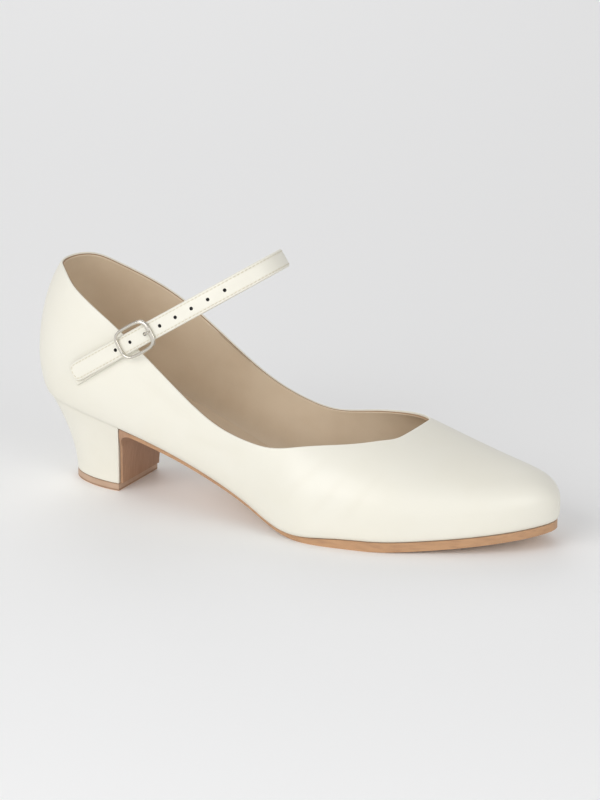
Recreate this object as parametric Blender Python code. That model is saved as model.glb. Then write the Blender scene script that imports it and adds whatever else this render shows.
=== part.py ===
"""Character shoe for the right foot: a leather pump with an instep strap, a buckle and a covered heel.

Metres, +Z up, toe towards +X, outer (lateral) side towards -Y, inner (medial) side towards +Y.
The origin lies on the floor, in the middle of the heel's top piece. While shapes are worked out,
x is measured from the back of the counter.
"""

import math

import bmesh
import bpy
import numpy as np

# Driving dimensions, in metres and degrees.
LENGTH = 0.243  # back of the counter to the tip of the toe
BALL_WIDTH = 0.081  # across the upper at the ball
HEEL_HEIGHT = 0.040  # floor to the upper's bottom edge, at the back
INSTEP_HEIGHT = 0.090  # height of the last's cone above its bottom edge
COLLAR_HEIGHT = 0.058  # topline above the bottom edge, at the back
THROAT_LENGTH = 0.1785  # front end of the topline, from the back of the counter
WALL_THICKNESS = 0.0018  # upper leather with its lining
GAP = 0.0003  # clearance between neighbouring pieces
LASTING_MARGIN = 0.006  # upper turned in between insole and outsole
INSOLE_THICKNESS = 0.0022
SOLE_THICKNESS = 0.0040
SOLE_OVERHANG = 0.0012  # outsole beyond the upper's bottom edge, at the forefoot
WAIST_CROWN = 0.0014  # how much fuller the outsole is along the middle of its waist
TOE_SPRING = 0.0078
LIFT_THICKNESS = 0.0034
LIFT_LENGTH = 0.0286
LIFT_WIDTH = 0.0350
HEEL_SETBACK = 0.0151  # back of the heel's foot, from the back of the counter
HEEL_LEAN = 0.0018  # how far the heel's foot stands to the medial side
BREAST_FLARE = 0.0045  # how much further forward the heel's breast is at the top
BREAST_FILLET = 0.006  # bend of the outsole from the waist into its flap
FLAP_THICKNESS = 0.0012
FLAP_INSET = 0.0011  # heel cover that shows beside the flap
STRAP_WIDTH = 0.0084
STRAP_THICKNESS = 0.0017
STRAP_SLOPE = 33.0  # the plane that the strap lies in, against the floor
STRAP_REACH = 0.0715  # from where it leaves the quarters to the top of its loop, in that plane
STRAP_TAIL_LENGTH = 0.0290  # loose end on the outer quarter
STRAP_ROOT_LENGTH = 0.007  # stitched end on the inner quarter
HOLE_PITCH = 0.0083
HOLE_DIAMETER = 0.0016
BUCKLE_STRAP_LENGTH = 0.0305  # short strap, from where the loop starts back to its cut end
BUCKLE_STRAP_THICKNESS = 0.0008
BUCKLE_STRAP_DROP = 0.0012  # how far its cut end shows below the strap
BUCKLE_LENGTH = 0.0184
BUCKLE_WIDTH = 0.0140
BUCKLE_WIRE = 0.0014
BUCKLE_PLACE = 0.0084  # middle of the buckle, from where the loop starts
BAR_DIAMETER = 0.0012
BAR_PLACE = 0.0053  # hidden bar, from the middle of the buckle
PRONG_DIAMETER = 0.0009
PRONG_SLOT = 0.0022  # cut in the short strap's fold that lets the prong through
HEEL_CENTRE = 0.024  # pivot that the rounded heel's sections turn about
DRAPE_LENGTH = 0.008  # how far up its plane the strap still follows the slope of the quarters
DRAPE_FADE_LENGTH = 0.012  # over which it turns upright
TAIL_TAPER_LENGTH = 0.004  # rounded end of the strap's tail
ROOT_TAPER_LENGTH = 0.005  # pointed end of the strap's root
STRAP_EXIT_LENGTH = 0.0065  # up the plane to where the short strap leaves the quarter
FOLD_LEAD_LENGTH = 0.0028  # flat part of the short strap in front of its fold
FOLD_END_LENGTH = 0.0035  # and behind it, under the strap
SLOT_LENGTH = 0.0051
CUTTER_LENGTH = 0.0048
PRONG_RISE_LENGTH = 0.0006  # step forward of the prong where it leaves the strap's hole
PRONG_TIP_LENGTH = 0.0008  # prong beyond the middle of the front bar
WELD_LENGTH = 0.00002  # points nearer than this are one point
WALL_TURN_LENGTH = 0.013  # stations per turn: length that one radian counts for, round the upper
PLAN_TURN_LENGTH = 0.010  # and round the pieces under it

# Shares, and numbers of sections.
TREAD_END = 0.72  # where the toe spring starts, share of LENGTH
SPRING_BEND = 1.5  # exponent of the toe spring
CROWN_END = 0.62  # where the waist's crown has faded out, share of LENGTH
CROWN_FADE = 0.10
OVERHANG_START = 0.4  # share of SOLE_THICKNESS at which the outsole starts to stand out
OVERHANG_FADE = 0.5
STRAP_PLACE = 0.220  # where the loop leaves the quarters: share of LENGTH
STRAP_RISE = 0.700  # and height above the bottom edge there, share of COLLAR_HEIGHT
LOOP_SQUARENESS = 2.2
TAIL_END_SHARE = 0.45  # width of the strap at its very end, share of STRAP_WIDTH
ROOT_END_SHARE = 0.25
HOLES_FORWARD = 5  # holes in front of the one that holds the prong
HOLES_BACK = 2
FLARE_BEND = 1.6  # exponent of the heel's flare
FOOT_SQUARENESS = (1.85, 1.85)  # of the heel's foot, along and across
BUCKLE_SQUARENESS = 0.55  # exponent of the frame's corners: 1 is an ellipse, 0 a rectangle
FRONT_BAR_WIDENING = 0.6
FRONT_BAR_BEND = 6
BAR_DROP = ((1.0, 1.0), (0.93, 0.0), (0.86, -0.75), (0.76, -1.0))  # shares of half width and of depth
FOLD_ANGLES = (-70, -35, 0, 35, 70, 90)  # round the hidden bar, in degrees
HOOK_ANGLES = (200, 235, 270, 305, 340, 15, 50, 80)
FAN_START = 0.27  # share of LENGTH where the upper's rows start to lean towards the throat
TOE_BLEND = (0.58, 0.88)  # shares of LENGTH between which the rows turn straight in plan
ROW_SPREAD = 1.25  # rows lie closer together near the widest line
LOWER_ANGLES = (0, 12, 32, 52, 72, 90)  # rows round the lower corner, in degrees
UPPER_ROWS = 11
SIDE_STATIONS = 34
INSOLE_GRID = (30, 7)  # stations along, columns across
SOLE_GRID = (34, 9)
BEND_STEPS = (0.2, 0.4, 0.6, 0.8)
FLAP_ROWS = 7
HEEL_STATIONS = 15
HEEL_COLUMNS = 7
HEEL_LEVELS = (0.0, 0.14, 0.30, 0.46, 0.62, 0.77, 0.90, 1.0)
LIFT_COLUMNS = 5
STRAP_STATIONS = 46
STRAP_COLUMNS = (-0.5, -0.43, 0.0, 0.43, 0.5)  # shares of STRAP_WIDTH
STRAP_EDGE = (0.45, 1.0, 1.0, 1.0, 0.45)  # share of the thickness left at those columns
SHORT_STRAP_STATIONS = 14
HOLE_SIDES = 10
BUCKLE_STATIONS = 40
WIRE_SIDES = 8

# The bottom: share of LENGTH, height of the outsole's underside (share of HEEL_HEIGHT) and
# thickness of its edge (share of SOLE_THICKNESS). The heel takes the outsole's place at the seat.
BOTTOM = (
    (0.00, 0.957, 0.375),
    (0.10, 0.868, 0.375),
    (0.20, 0.745, 0.375),
    (0.30, 0.574, 0.375),
    (0.40, 0.360, 0.375),
    (0.48, 0.171, 0.375),
    (0.53, 0.052, 0.390),
    (0.57, 0.008, 0.470),
    (0.61, 0.000, 0.640),
    (0.65, 0.000, 0.850),
    (0.70, 0.000, 1.000),
    (0.76, 0.000, 1.000),
    (0.88, 0.000, 0.940),
    (1.00, 0.000, 0.880),
)

# The widest line of the upper seen from above: share of LENGTH, then lateral and medial shares of BALL_WIDTH.
OUTLINE = (
    (0.000, 0.000, 0.000),
    (0.018, 0.185, 0.185),
    (0.065, 0.300, 0.302),
    (0.130, 0.352, 0.352),
    (0.210, 0.368, 0.360),
    (0.310, 0.366, 0.334),
    (0.410, 0.388, 0.308),
    (0.510, 0.456, 0.330),
    (0.600, 0.524, 0.400),
    (0.670, 0.502, 0.455),
    (0.740, 0.463, 0.480),
    (0.810, 0.378, 0.462),
    (0.880, 0.280, 0.402),
    (0.940, 0.170, 0.318),
    (0.982, 0.050, 0.215),
)
TOE_TIP_SIDE = 0.070  # the tip's offset to the medial side, share of BALL_WIDTH

# Walls below the widest line: share of LENGTH, tuck lateral and medial and height of the widest
# line lateral and medial (shares of BALL_WIDTH), then the squareness of the lower corner.
WALLS = (
    (0.00, 0.058, 0.058, 0.215, 0.215, 1.7),
    (0.10, 0.062, 0.062, 0.215, 0.215, 1.8),
    (0.22, 0.064, 0.074, 0.210, 0.225, 2.0),
    (0.34, 0.062, 0.090, 0.200, 0.240, 2.3),
    (0.46, 0.058, 0.094, 0.180, 0.235, 2.5),
    (0.58, 0.044, 0.060, 0.155, 0.190, 3.2),
    (0.70, 0.036, 0.038, 0.140, 0.150, 4.2),
    (0.85, 0.032, 0.032, 0.120, 0.125, 4.2),
    (1.00, 0.028, 0.028, 0.100, 0.100, 4.2),
)

# The cone above the widest line: share of LENGTH, height of the ridge (share of INSTEP_HEIGHT),
# its offset to the medial side (share of BALL_WIDTH) and the fullness of the dome.
CONE = (
    (0.00, 0.750, 0.000, 2.00),
    (0.10, 0.825, 0.000, 2.00),
    (0.25, 1.000, 0.015, 2.00),
    (0.40, 0.930, 0.050, 2.00),
    (0.52, 0.735, 0.075, 2.00),
    (0.62, 0.568, 0.085, 2.05),
    (0.70, 0.484, 0.090, 2.10),
    (0.78, 0.398, 0.090, 2.15),
    (0.86, 0.315, 0.085, 2.20),
    (0.93, 0.255, 0.078, 2.25),
    (0.975, 0.200, 0.072, 2.25),
)

# Topline: share of LENGTH, lateral and medial heights above the bottom edge (shares of COLLAR_HEIGHT).
TOPLINE = (
    (0.00, 0.990, 0.990),
    (0.05, 1.000, 1.000),
    (0.12, 0.912, 0.930),
    (0.20, 0.800, 0.835),
    (0.30, 0.610, 0.685),
    (0.40, 0.475, 0.570),
    (0.50, 0.545, 0.575),
    (0.58, 0.655, 0.648),
    (0.64, 0.664, 0.662),
    (0.69, 0.669, 0.669),
    (0.715, 0.672, 0.672),
    (0.727, 0.675, 0.675),
)


class Spline:
    """A smooth curve through the points p at the parameters t."""

    def __init__(self, t, p, start=None, end=None, closed=False):
        self.t = np.asarray(t, float)
        self.p = np.asarray(p, float).reshape(len(self.t), -1)
        n, h, p = len(self.t), np.diff(self.t), self.p
        a, b = np.zeros((n, n)), np.zeros_like(p)
        for i in range(1, n - 1):
            a[i, i - 1 : i + 2] = h[i], 2 * (h[i - 1] + h[i]), h[i - 1]
            b[i] = 3 * (h[i] * (p[i] - p[i - 1]) / h[i - 1] + h[i - 1] * (p[i + 1] - p[i]) / h[i])
        if closed:
            a[0, 0], a[0, 1], a[0, n - 2] = 2 * (h[-1] + h[0]), h[-1], h[0]
            b[0] = 3 * (h[0] * (p[0] - p[n - 2]) / h[-1] + h[-1] * (p[1] - p[0]) / h[0])
            a[n - 1, 0], a[n - 1, n - 1] = 1, -1
        else:
            a[0, 0], b[0] = (1, start) if start is not None else (2, 3 * (p[1] - p[0]) / h[0])
            a[0, 1] = 0 if start is not None else 1
            a[-1, -1], b[-1] = (1, end) if end is not None else (2, 3 * (p[-1] - p[-2]) / h[-1])
            a[-1, -2] = 0 if end is not None else 1
        self.m = np.linalg.solve(a, b)

    def __call__(self, q):
        q = np.clip(np.asarray(q, float), self.t[0], self.t[-1])
        i = np.clip(np.searchsorted(self.t, q, side="right") - 1, 0, len(self.t) - 2)
        h = (self.t[i + 1] - self.t[i])[..., None]
        s = (q[..., None] - self.t[i][..., None]) / h
        p0, p1, m0, m1 = self.p[i], self.p[i + 1], self.m[i], self.m[i + 1]
        return (
            p0 * (1 + 2 * s) * (1 - s) ** 2
            + p1 * s**2 * (3 - 2 * s)
            + h * m0 * s * (1 - s) ** 2
            - h * m1 * s**2 * (1 - s)
        )


def chords(points):
    """Distance along a row of points, from 0."""
    return np.concatenate([[0.0], np.cumsum(np.linalg.norm(np.diff(points, axis=0), axis=1))])


def along(table, column, size):
    """A column of a table as a smooth function of the distance from the back of the counter."""
    rows = np.array(table)
    curve = Spline(rows[:, 0] * LENGTH, rows[:, column] * size)
    return lambda x: curve(x)[..., 0]


def power(base, exponent):
    return np.clip(base, 0.0, None) ** exponent


def underside(x):
    """Height of the outsole's underside at its edge."""
    spring = np.clip((np.asarray(x, float) / LENGTH - TREAD_END) / (1 - TREAD_END), 0, None)
    return np.clip(along(BOTTOM, 1, HEEL_HEIGHT)(x), 0, None) + TOE_SPRING * spring**SPRING_BEND


def edge_thickness(x):
    return along(BOTTOM, 2, SOLE_THICKNESS)(x)


def seat_line(x):
    """Height of the upper's bottom edge above the floor."""
    return underside(x) + edge_thickness(x) + GAP


class Last:
    """The form that the upper is pulled over, and every curve that the pieces share."""

    SAMPLES = 2400

    def __init__(self):
        rows = np.array(OUTLINE) * (LENGTH, BALL_WIDTH, BALL_WIDTH)
        tip = (LENGTH, TOE_TIP_SIDE * BALL_WIDTH)
        lateral = [(x, -a) for x, a, _ in rows]
        medial = [(x, b) for x, _, b in rows[:0:-1]]
        points = np.array(lateral + [tip] + medial + lateral[:1])
        t = chords(points)
        curve = Spline(t, points, closed=True)
        half = t[len(lateral)]
        self.edge = {
            -1: curve(np.linspace(0, half, self.SAMPLES)),
            1: curve(np.linspace(t[-1], half, self.SAMPLES)),
        }
        self.out = {side: self.outward(side) for side in (-1, 1)}
        columns = ("tuck", "tuck", "rise", "rise")
        self.wall = {
            (name, side): along(WALLS, i + 1, BALL_WIDTH)
            for i, (name, side) in enumerate(zip(columns, (-1, 1, -1, 1)))
        }
        self.corner = along(WALLS, 5, 1.0)
        self.ridge_side = along(CONE, 2, BALL_WIDTH)
        self.dome = along(CONE, 3, 1.0)
        self.ridge = self.ridge_profile()
        self.top = {side: self.topline_profile(i) for i, side in ((1, -1), (2, 1))}

    def outward(self, side):
        """Unit normals of the widest line, seen from above."""
        tangent = np.gradient(self.edge[side], axis=0)
        tangent /= np.linalg.norm(tangent, axis=1)[:, None]
        return np.column_stack([-side * tangent[:, 1], side * tangent[:, 0]])

    def ridge_profile(self):
        """Height of the ridge above the bottom edge, falling upright to the widest line at the toe's tip."""
        rows = np.array(CONE)[:, :2] * (LENGTH, INSTEP_HEIGHT)
        end = (LENGTH, float(self.wall["rise", -1](LENGTH)))
        points = np.vstack([rows, end])
        t = chords(points)
        fine = Spline(t, points, end=(0.0, -1.0))(np.linspace(0, t[-1], self.SAMPLES))
        return lambda x: np.interp(x, fine[:, 0], fine[:, 1])

    def topline_profile(self, column):
        rows = np.array(TOPLINE)
        x = np.append(rows[:, 0] * LENGTH, THROAT_LENGTH)
        height = np.append(rows[:, column] * COLLAR_HEIGHT, self.ridge(THROAT_LENGTH))
        curve = Spline(x, height)
        return lambda q: curve(q)[..., 0]

    def half_width(self, x, side, inset=0.0):
        """Signed distance of the widest line from the axis at x, or of a line drawn inside it."""
        line = self.edge[side] - np.asarray(inset)[..., None] * self.out[side]
        return np.interp(x, line[:, 0], line[:, 1])

    def share_across(self, height, x, side):
        """How far out, from 0 on the ridge to 1 on the widest line, the form has this height."""
        rise, n = self.wall["rise", side](x), self.dome(x)
        level = np.clip((height - rise) / np.maximum(self.ridge(x) - rise, 1e-6), 0, 1)
        return power(1 - level**n, 1 / n)

    def height(self, x, share, side):
        """Height above the bottom edge at a share of the way from the ridge to the widest line."""
        rise, n = self.wall["rise", side](x), self.dome(x)
        return rise + (self.ridge(x) - rise) * power(1 - np.clip(share, 0, 1) ** n, 1 / n)

    def path(self, start, end, side):
        """A line over the form from a point of the widest line to a point of the topline, in plan.

        Along the quarters it keeps an even share of the way up; over the toe it runs straight in plan.
        """
        t = np.linspace(0, 1, 160) ** 2
        x = start[0] + (end[0] - start[0]) * t
        ridge_side = self.ridge_side(x)
        reach = self.half_width(x, side) - ridge_side
        reach = np.where(np.abs(reach) < 1e-6, side * 1e-6, reach)
        end_share = (end[1] - ridge_side[-1]) / reach[-1]
        straight = (start[1] + (end[1] - start[1]) * t - ridge_side) / reach
        toe = np.clip((start[0] / LENGTH - TOE_BLEND[0]) / (TOE_BLEND[1] - TOE_BLEND[0]), 0, 1)
        toe = toe * toe * (3 - 2 * toe)
        share = np.clip((1 + (end_share - 1) * t) * (1 - toe) + straight * toe, 0, 1)
        share[0] = 1.0
        z = seat_line(x) + self.height(x, share, side)
        path = np.column_stack([x, ridge_side + share * reach, z])
        path[0, :2] = start
        return path

    def stations(self, side, count):
        """Even places along the widest line, closer together where it turns."""
        edge, out = self.edge[side], self.out[side]
        turn = np.linalg.norm(np.diff(out, axis=0), axis=1)
        steps = np.linalg.norm(np.diff(edge, axis=0), axis=1) + WALL_TURN_LENGTH * turn
        measure = np.append(0.0, np.cumsum(steps))
        picked = np.interp(np.linspace(0, measure[-1], count + 1), measure, np.arange(len(edge)))
        return np.round(picked).astype(int)

    def throat_curve(self, side, start):
        """Plan points of the topline from x = start to the throat."""
        x = THROAT_LENGTH - (THROAT_LENGTH - start) * np.linspace(1, 0, 400) ** 2
        share = self.share_across(self.top[side](x), x, side)
        ridge_side = self.ridge_side(x)
        return np.column_stack([x, ridge_side + share * (self.half_width(x, side) - ridge_side)])


def resample(points, count, power_to_start=1.0):
    """Points at even distances along a row of points."""
    t = chords(points)
    q = t[-1] * np.linspace(0, 1, count) ** power_to_start
    return np.column_stack([np.interp(q, t, points[:, k]) for k in range(points.shape[1])])


def meridians(last, side):
    """Rows of points of one side, from the lasting margin up to the topline.

    They are the outer and the inner face of the lower wall, and the outer face of the upper wall.
    """
    picked = last.stations(side, SIDE_STATIONS)
    edge, out = last.edge[side][picked], last.out[side][picked]
    x = edge[:, 0]
    tuck, rise = last.wall["tuck", side](x), last.wall["rise", side](x)
    corner = last.corner(x)
    start = FAN_START * LENGTH
    fine = last.edge[side]
    travel = chords(fine)
    from_start = np.interp(start, fine[:, 0], travel)
    share = (travel[picked] - from_start) / (travel[-1] - from_start)
    throat = last.throat_curve(side, start)
    throat_travel = chords(throat)
    outer, inner, upper = [], [], []
    for i in range(len(picked)):
        lower, lining = [edge[i] - (tuck[i] + LASTING_MARGIN) * out[i]], []
        lift = [0.0]
        lining.append(lower[0])
        lining_lift = [WALL_THICKNESS]
        for t in np.radians(LOWER_ANGLES):
            back = 1 - power(np.sin(t), 2 / corner[i])
            up = 1 - power(np.cos(t), 2 / corner[i])
            lower.append(edge[i] - tuck[i] * back * out[i])
            lift.append(rise[i] * up)
            lining.append(edge[i] - (WALL_THICKNESS + (tuck[i] - WALL_THICKNESS) * back) * out[i])
            lining_lift.append(WALL_THICKNESS + (rise[i] - WALL_THICKNESS) * up)
        for plan, lifts, store in ((lower, lift, outer), (lining, lining_lift, inner)):
            plan = np.array(plan)
            store.append(np.column_stack([plan, seat_line(plan[:, 0]) + lifts]))
        if x[i] < HEEL_CENTRE:
            pivot = np.array([HEEL_CENTRE, 0.0])
            top_share = last.share_across(last.top[side](x[i]), x[i], side)
            spread = 1 - (1 - top_share) * np.linspace(0, 1, 80) ** 2
            plan = pivot + (edge[i] - pivot) * spread[:, None]
            path = np.column_stack([plan, seat_line(x[i]) + last.height(x[i], spread, side)])
        else:
            if x[i] <= start:
                here = np.array([x[i]])
                top_share = last.share_across(last.top[side](here), here, side)[0]
                ridge_side = float(last.ridge_side(x[i]))
                target = np.array([x[i], ridge_side + top_share * (edge[i, 1] - ridge_side)])
            else:
                q = share[i] * throat_travel[-1]
                target = np.array([np.interp(q, throat_travel, throat[:, k]) for k in (0, 1)])
            path = last.path(edge[i], target, side)
        upper.append(resample(path, UPPER_ROWS, ROW_SPREAD)[1:])
    return np.array(outer), np.array(inner), np.array(upper)


def grid_normals(grid):
    """Unit normals of a grid whose first index runs round the shoe."""
    around = np.roll(grid, -1, axis=0) - np.roll(grid, 1, axis=0)
    up = np.gradient(grid, axis=1)
    normal = np.cross(around, up)
    return normal / np.maximum(np.linalg.norm(normal, axis=2), 1e-12)[:, :, None]


def upper_grids(last):
    """Outer and inner faces of the upper, each as (places round the shoe, rows up the wall, 3)."""
    lateral, medial = meridians(last, -1), meridians(last, 1)
    loop = [np.concatenate([a, b[-2:0:-1]]) for a, b in zip(lateral, medial)]
    outer = np.concatenate([loop[0], loop[2]], axis=1)
    inset = outer[:, loop[0].shape[1] :] - WALL_THICKNESS * grid_normals(outer)[:, loop[0].shape[1] :]
    inner = np.concatenate([loop[1], inset], axis=1)
    return outer, inner


def clean_mesh(name, points, faces, material, sharp=35.0):
    """An object from points measured from the counter, with doubled points joined and faces turned out."""
    mesh = bpy.data.meshes.new(name)
    origin = np.array([HEEL_SETBACK + LIFT_LENGTH / 2, HEEL_LEAN, 0.0])
    mesh.from_pydata([tuple(p) for p in np.asarray(points) - origin], [], faces)
    work = bmesh.new()
    work.from_mesh(mesh)
    bmesh.ops.remove_doubles(work, verts=work.verts[:], dist=WELD_LENGTH)
    bmesh.ops.recalc_face_normals(work, faces=work.faces[:])
    work.to_mesh(mesh)
    work.free()
    mesh.shade_smooth()
    mesh.set_sharp_from_angle(angle=math.radians(sharp))
    mesh.materials.append(material)
    made = bpy.data.objects.new(name, mesh)
    bpy.context.scene.collection.objects.link(made)
    return made


def lattice_solid(name, points, material, sharp=35.0):
    """A closed solid from the outer faces of a block of points, indexed along, across and through."""
    counts = points.shape[:3]
    number = np.arange(np.prod(counts)).reshape(counts)
    faces = []
    for sheet in (number[0], number[-1], number[:, 0], number[:, -1], number[:, :, 0], number[:, :, -1]):
        quads = np.stack([sheet[:-1, :-1], sheet[1:, :-1], sheet[1:, 1:], sheet[:-1, 1:]], axis=-1)
        faces += [tuple(int(v) for v in quad) for quad in quads.reshape(-1, 4)]
    flat = points.reshape(-1, 3)
    _, first = np.unique(np.round(flat, 7), axis=0, return_inverse=True)
    keep = [face for face in faces if len({int(first[v]) for v in face}) > 2]
    return clean_mesh(name, flat, keep, material, sharp)


def make_material(name, color, roughness, metallic=0.0):
    made = bpy.data.materials.new(name)
    made.use_nodes = True
    shader = made.node_tree.nodes["Principled BSDF"]
    shader.inputs["Base Color"].default_value = (*color, 1.0)
    shader.inputs["Roughness"].default_value = roughness
    shader.inputs["Metallic"].default_value = metallic
    made.diffuse_color = (*color, 1.0)
    return made


def make_upper(last, leather):
    """The hollow shell: outer and inner faces, joined along the topline and the lasting margin."""
    outer, inner = upper_grids(last)
    around, rows = outer.shape[:2]
    number = np.arange(around * rows).reshape(around, rows)
    faces = []
    for i in range(around):
        j = (i + 1) % around
        for k in range(rows - 1):
            a, b, c, d = number[i, k], number[j, k], number[j, k + 1], number[i, k + 1]
            faces.append((a, b, c, d))
            faces.append(tuple(around * rows + v for v in (d, c, b, a)))
        for k in (0, rows - 1):
            a, b = number[i, k], number[j, k]
            faces.append((a, b, around * rows + b, around * rows + a))
    points = np.concatenate([outer.reshape(-1, 3), inner.reshape(-1, 3)])
    faces = [tuple(int(v) for v in face) for face in faces]
    return clean_mesh("upper", points, faces, leather)


def bottom_line(last, side, inset, start, end=None):
    """Plan points of a line drawn inside the upper's bottom edge, from start to end or to the toe's tip."""
    edge = last.edge[side]
    plan = edge - (last.wall["tuck", side](edge[:, 0]) + inset(edge[:, 0]))[:, None] * last.out[side]
    first = np.argmax(plan[:, 0] >= start) if start > 0 else 0
    final = len(plan) if end is None else np.argmax(plan[:, 0] >= end) + 1
    piece = plan[first:final]
    if start > 0:
        piece[0] = start, np.interp(start, plan[: first + 2, 0], plan[: first + 2, 1])
    if end is not None:
        piece[-1] = end, np.interp(end, plan[final - 2 : final, 0], plan[final - 2 : final, 1])
    return piece


def even_turning(line, count):
    """Points along a plan line, closer together where it turns."""
    step = np.diff(line, axis=0)
    angle = np.unwrap(np.arctan2(step[:, 1], step[:, 0]))
    turn = np.abs(np.append(np.diff(angle), 0.0))
    measure = np.append(0.0, np.cumsum(np.linalg.norm(step, axis=1) + PLAN_TURN_LENGTH * turn))
    q = np.linspace(0, measure[-1], count)
    return np.column_stack([np.interp(q, measure, line[:, k]) for k in (0, 1)])


def plan_pairs(last, inset, start, end, count):
    """Matching lateral and medial plan points; a line from back to tip starts and ends in one point."""
    pair = [even_turning(bottom_line(last, side, inset, start, end), count) for side in (-1, 1)]
    if start <= 0:
        pair[0][0] = pair[1][0] = (pair[0][0] + pair[1][0]) / 2
    if end is None:
        pair[0][-1] = pair[1][-1] = (pair[0][-1] + pair[1][-1]) / 2
    return pair


def across(pair, columns):
    """Plan points of rows drawn across between the two lines of a pair."""
    share = np.linspace(0, 1, columns)[None, :, None]
    return pair[0][:, None] * (1 - share) + pair[1][:, None] * share


def stand(plan, *heights):
    """A block of points over plan points, one layer for each height."""
    return np.stack([np.concatenate([plan, z[..., None]], axis=-1) for z in heights], axis=2)


def make_insole(last, material):
    stations, columns = INSOLE_GRID
    plan = across(plan_pairs(last, lambda x: 4 * GAP + 0 * x, 0.0, None, stations), columns)
    low = seat_line(plan[..., 0]) + WALL_THICKNESS + 2 * GAP
    return lattice_solid("insole", stand(plan, low, low + INSOLE_THICKNESS), material)


def breast_top():
    return HEEL_SETBACK + LIFT_LENGTH + BREAST_FLARE


def heel_outline(last, count):
    """Plan points round the heel's top and round its foot, from the back to the breast, for each side."""
    top = plan_pairs(last, lambda x: 0 * x, 0.0, breast_top(), count)
    angle = np.linspace(0, math.pi / 2, count)
    foot = []
    for side in (-1, 1):
        x = HEEL_SETBACK + LIFT_LENGTH * (1 - np.cos(angle) ** (2 / FOOT_SQUARENESS[0]))
        y = HEEL_LEAN + side * LIFT_WIDTH / 2 * np.sin(angle) ** (2 / FOOT_SQUARENESS[1])
        foot.append(np.column_stack([x, y]))
    return top, foot


def make_heel(last, material):
    """The covered block: its foot is a D, and its sides flare up to the upper's bottom edge."""
    top, foot = heel_outline(last, HEEL_STATIONS)
    layers = []
    for level in HEEL_LEVELS:
        flare = level**FLARE_BEND
        pair = [foot[k] * (1 - flare) + top[k] * flare for k in (0, 1)]
        plan = across(pair, HEEL_COLUMNS)
        seat = seat_line(across(top, HEEL_COLUMNS)[..., 0]) - GAP
        z = LIFT_THICKNESS + GAP + (seat - LIFT_THICKNESS - GAP) * level
        layers.append(np.concatenate([plan, z[..., None]], axis=-1))
    return lattice_solid("heel", np.stack(layers, axis=2), material, 50)


def make_top_lift(last, material):
    _, foot = heel_outline(last, HEEL_STATIONS)
    plan = across(foot, LIFT_COLUMNS)
    floor = np.zeros(plan.shape[:2])
    return lattice_solid("top_lift", stand(plan, floor, floor + LIFT_THICKNESS), material)


def breast_x(z):
    """Front of the heel's breast at a height."""
    top = float(seat_line(breast_top())) - GAP
    level = np.clip((z - LIFT_THICKNESS - GAP) / (top - LIFT_THICKNESS - GAP), 0, 1)
    return HEEL_SETBACK + LIFT_LENGTH + BREAST_FLARE * level**FLARE_BEND


def breast_half_width(last, z, side):
    """Half width of the heel's breast at a height."""
    top, foot = heel_outline(last, HEEL_STATIONS)
    high = float(seat_line(breast_top())) - GAP
    level = np.clip((z - LIFT_THICKNESS - GAP) / (high - LIFT_THICKNESS - GAP), 0, 1) ** FLARE_BEND
    k = 0 if side < 0 else 1
    return abs(foot[k][-1, 1]) * (1 - level) + abs(top[k][-1, 1]) * level


def overhang(x):
    """Inset of the outsole's edge from the upper's bottom edge: below zero where it stands out."""
    share = (edge_thickness(x) / SOLE_THICKNESS - OVERHANG_START) / OVERHANG_FADE
    return -SOLE_OVERHANG * np.clip(share, 0, 1)


def make_outsole(last, material):
    """The full sole, which bends down at the waist into the flap that covers the heel's breast."""
    start = breast_top() + BREAST_FILLET
    stations, columns = SOLE_GRID
    plan = across(plan_pairs(last, overhang, start, None, stations), columns)
    share = np.linspace(-1, 1, columns)[None, :]
    x = plan[..., 0]
    waist = np.clip((CROWN_END - x / LENGTH) / CROWN_FADE, 0, 1)
    crown = np.minimum(WAIST_CROWN * waist * (1 - share**2), underside(x))
    sole = stand(plan, underside(x) - crown, seat_line(x) - GAP)
    seat = float(seat_line(breast_top())) - GAP
    under = float(underside(start))
    flap_top = under - BREAST_FILLET
    corner = np.array([breast_top() + GAP, seat])
    profile = []
    front = float(breast_x(flap_top)) + GAP + FLAP_THICKNESS
    for u in BEND_STEPS:
        low = (start * (1 - u) ** 2 + front * (1 - (1 - u) ** 2), under * (1 - u**2) + flap_top * u**2)
        if u < 0.5:
            x_high = start + (corner[0] - start) * u / 0.5
            high = (x_high, float(seat_line(x_high)) - GAP)
        else:
            z_high = seat + (flap_top - seat) * (u - 0.5) / 0.5
            high = (float(breast_x(z_high)) + GAP, z_high)
        profile.append((1 - u, low, high))
    for z in np.linspace(flap_top, LIFT_THICKNESS + GAP, FLAP_ROWS):
        back = float(breast_x(z)) + GAP
        profile.append((0.0, (back + FLAP_THICKNESS, z), (back, z)))
    rows = []
    for sole_share, low, high in profile:
        row = []
        for (px, pz), drop in ((low, WAIST_CROWN), (high, 0.0)):
            y = np.zeros(columns)
            for k, side in enumerate((-1, 1)):
                breast = breast_half_width(last, min(pz, seat), side) - FLAP_INSET
                width = abs(plan[0, -k, 1]) * sole_share + breast * (1 - sole_share)
                y += side * width * (1 + side * share[0]) / 2
            z = pz - drop * sole_share * (1 - share[0] ** 2)
            row.append(np.column_stack([np.full(columns, px), y, z]))
        rows.append(np.stack(row, axis=1))
    lattice = np.concatenate([np.array(rows[::-1]), sole])
    return lattice_solid("outsole", lattice, material)


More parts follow.
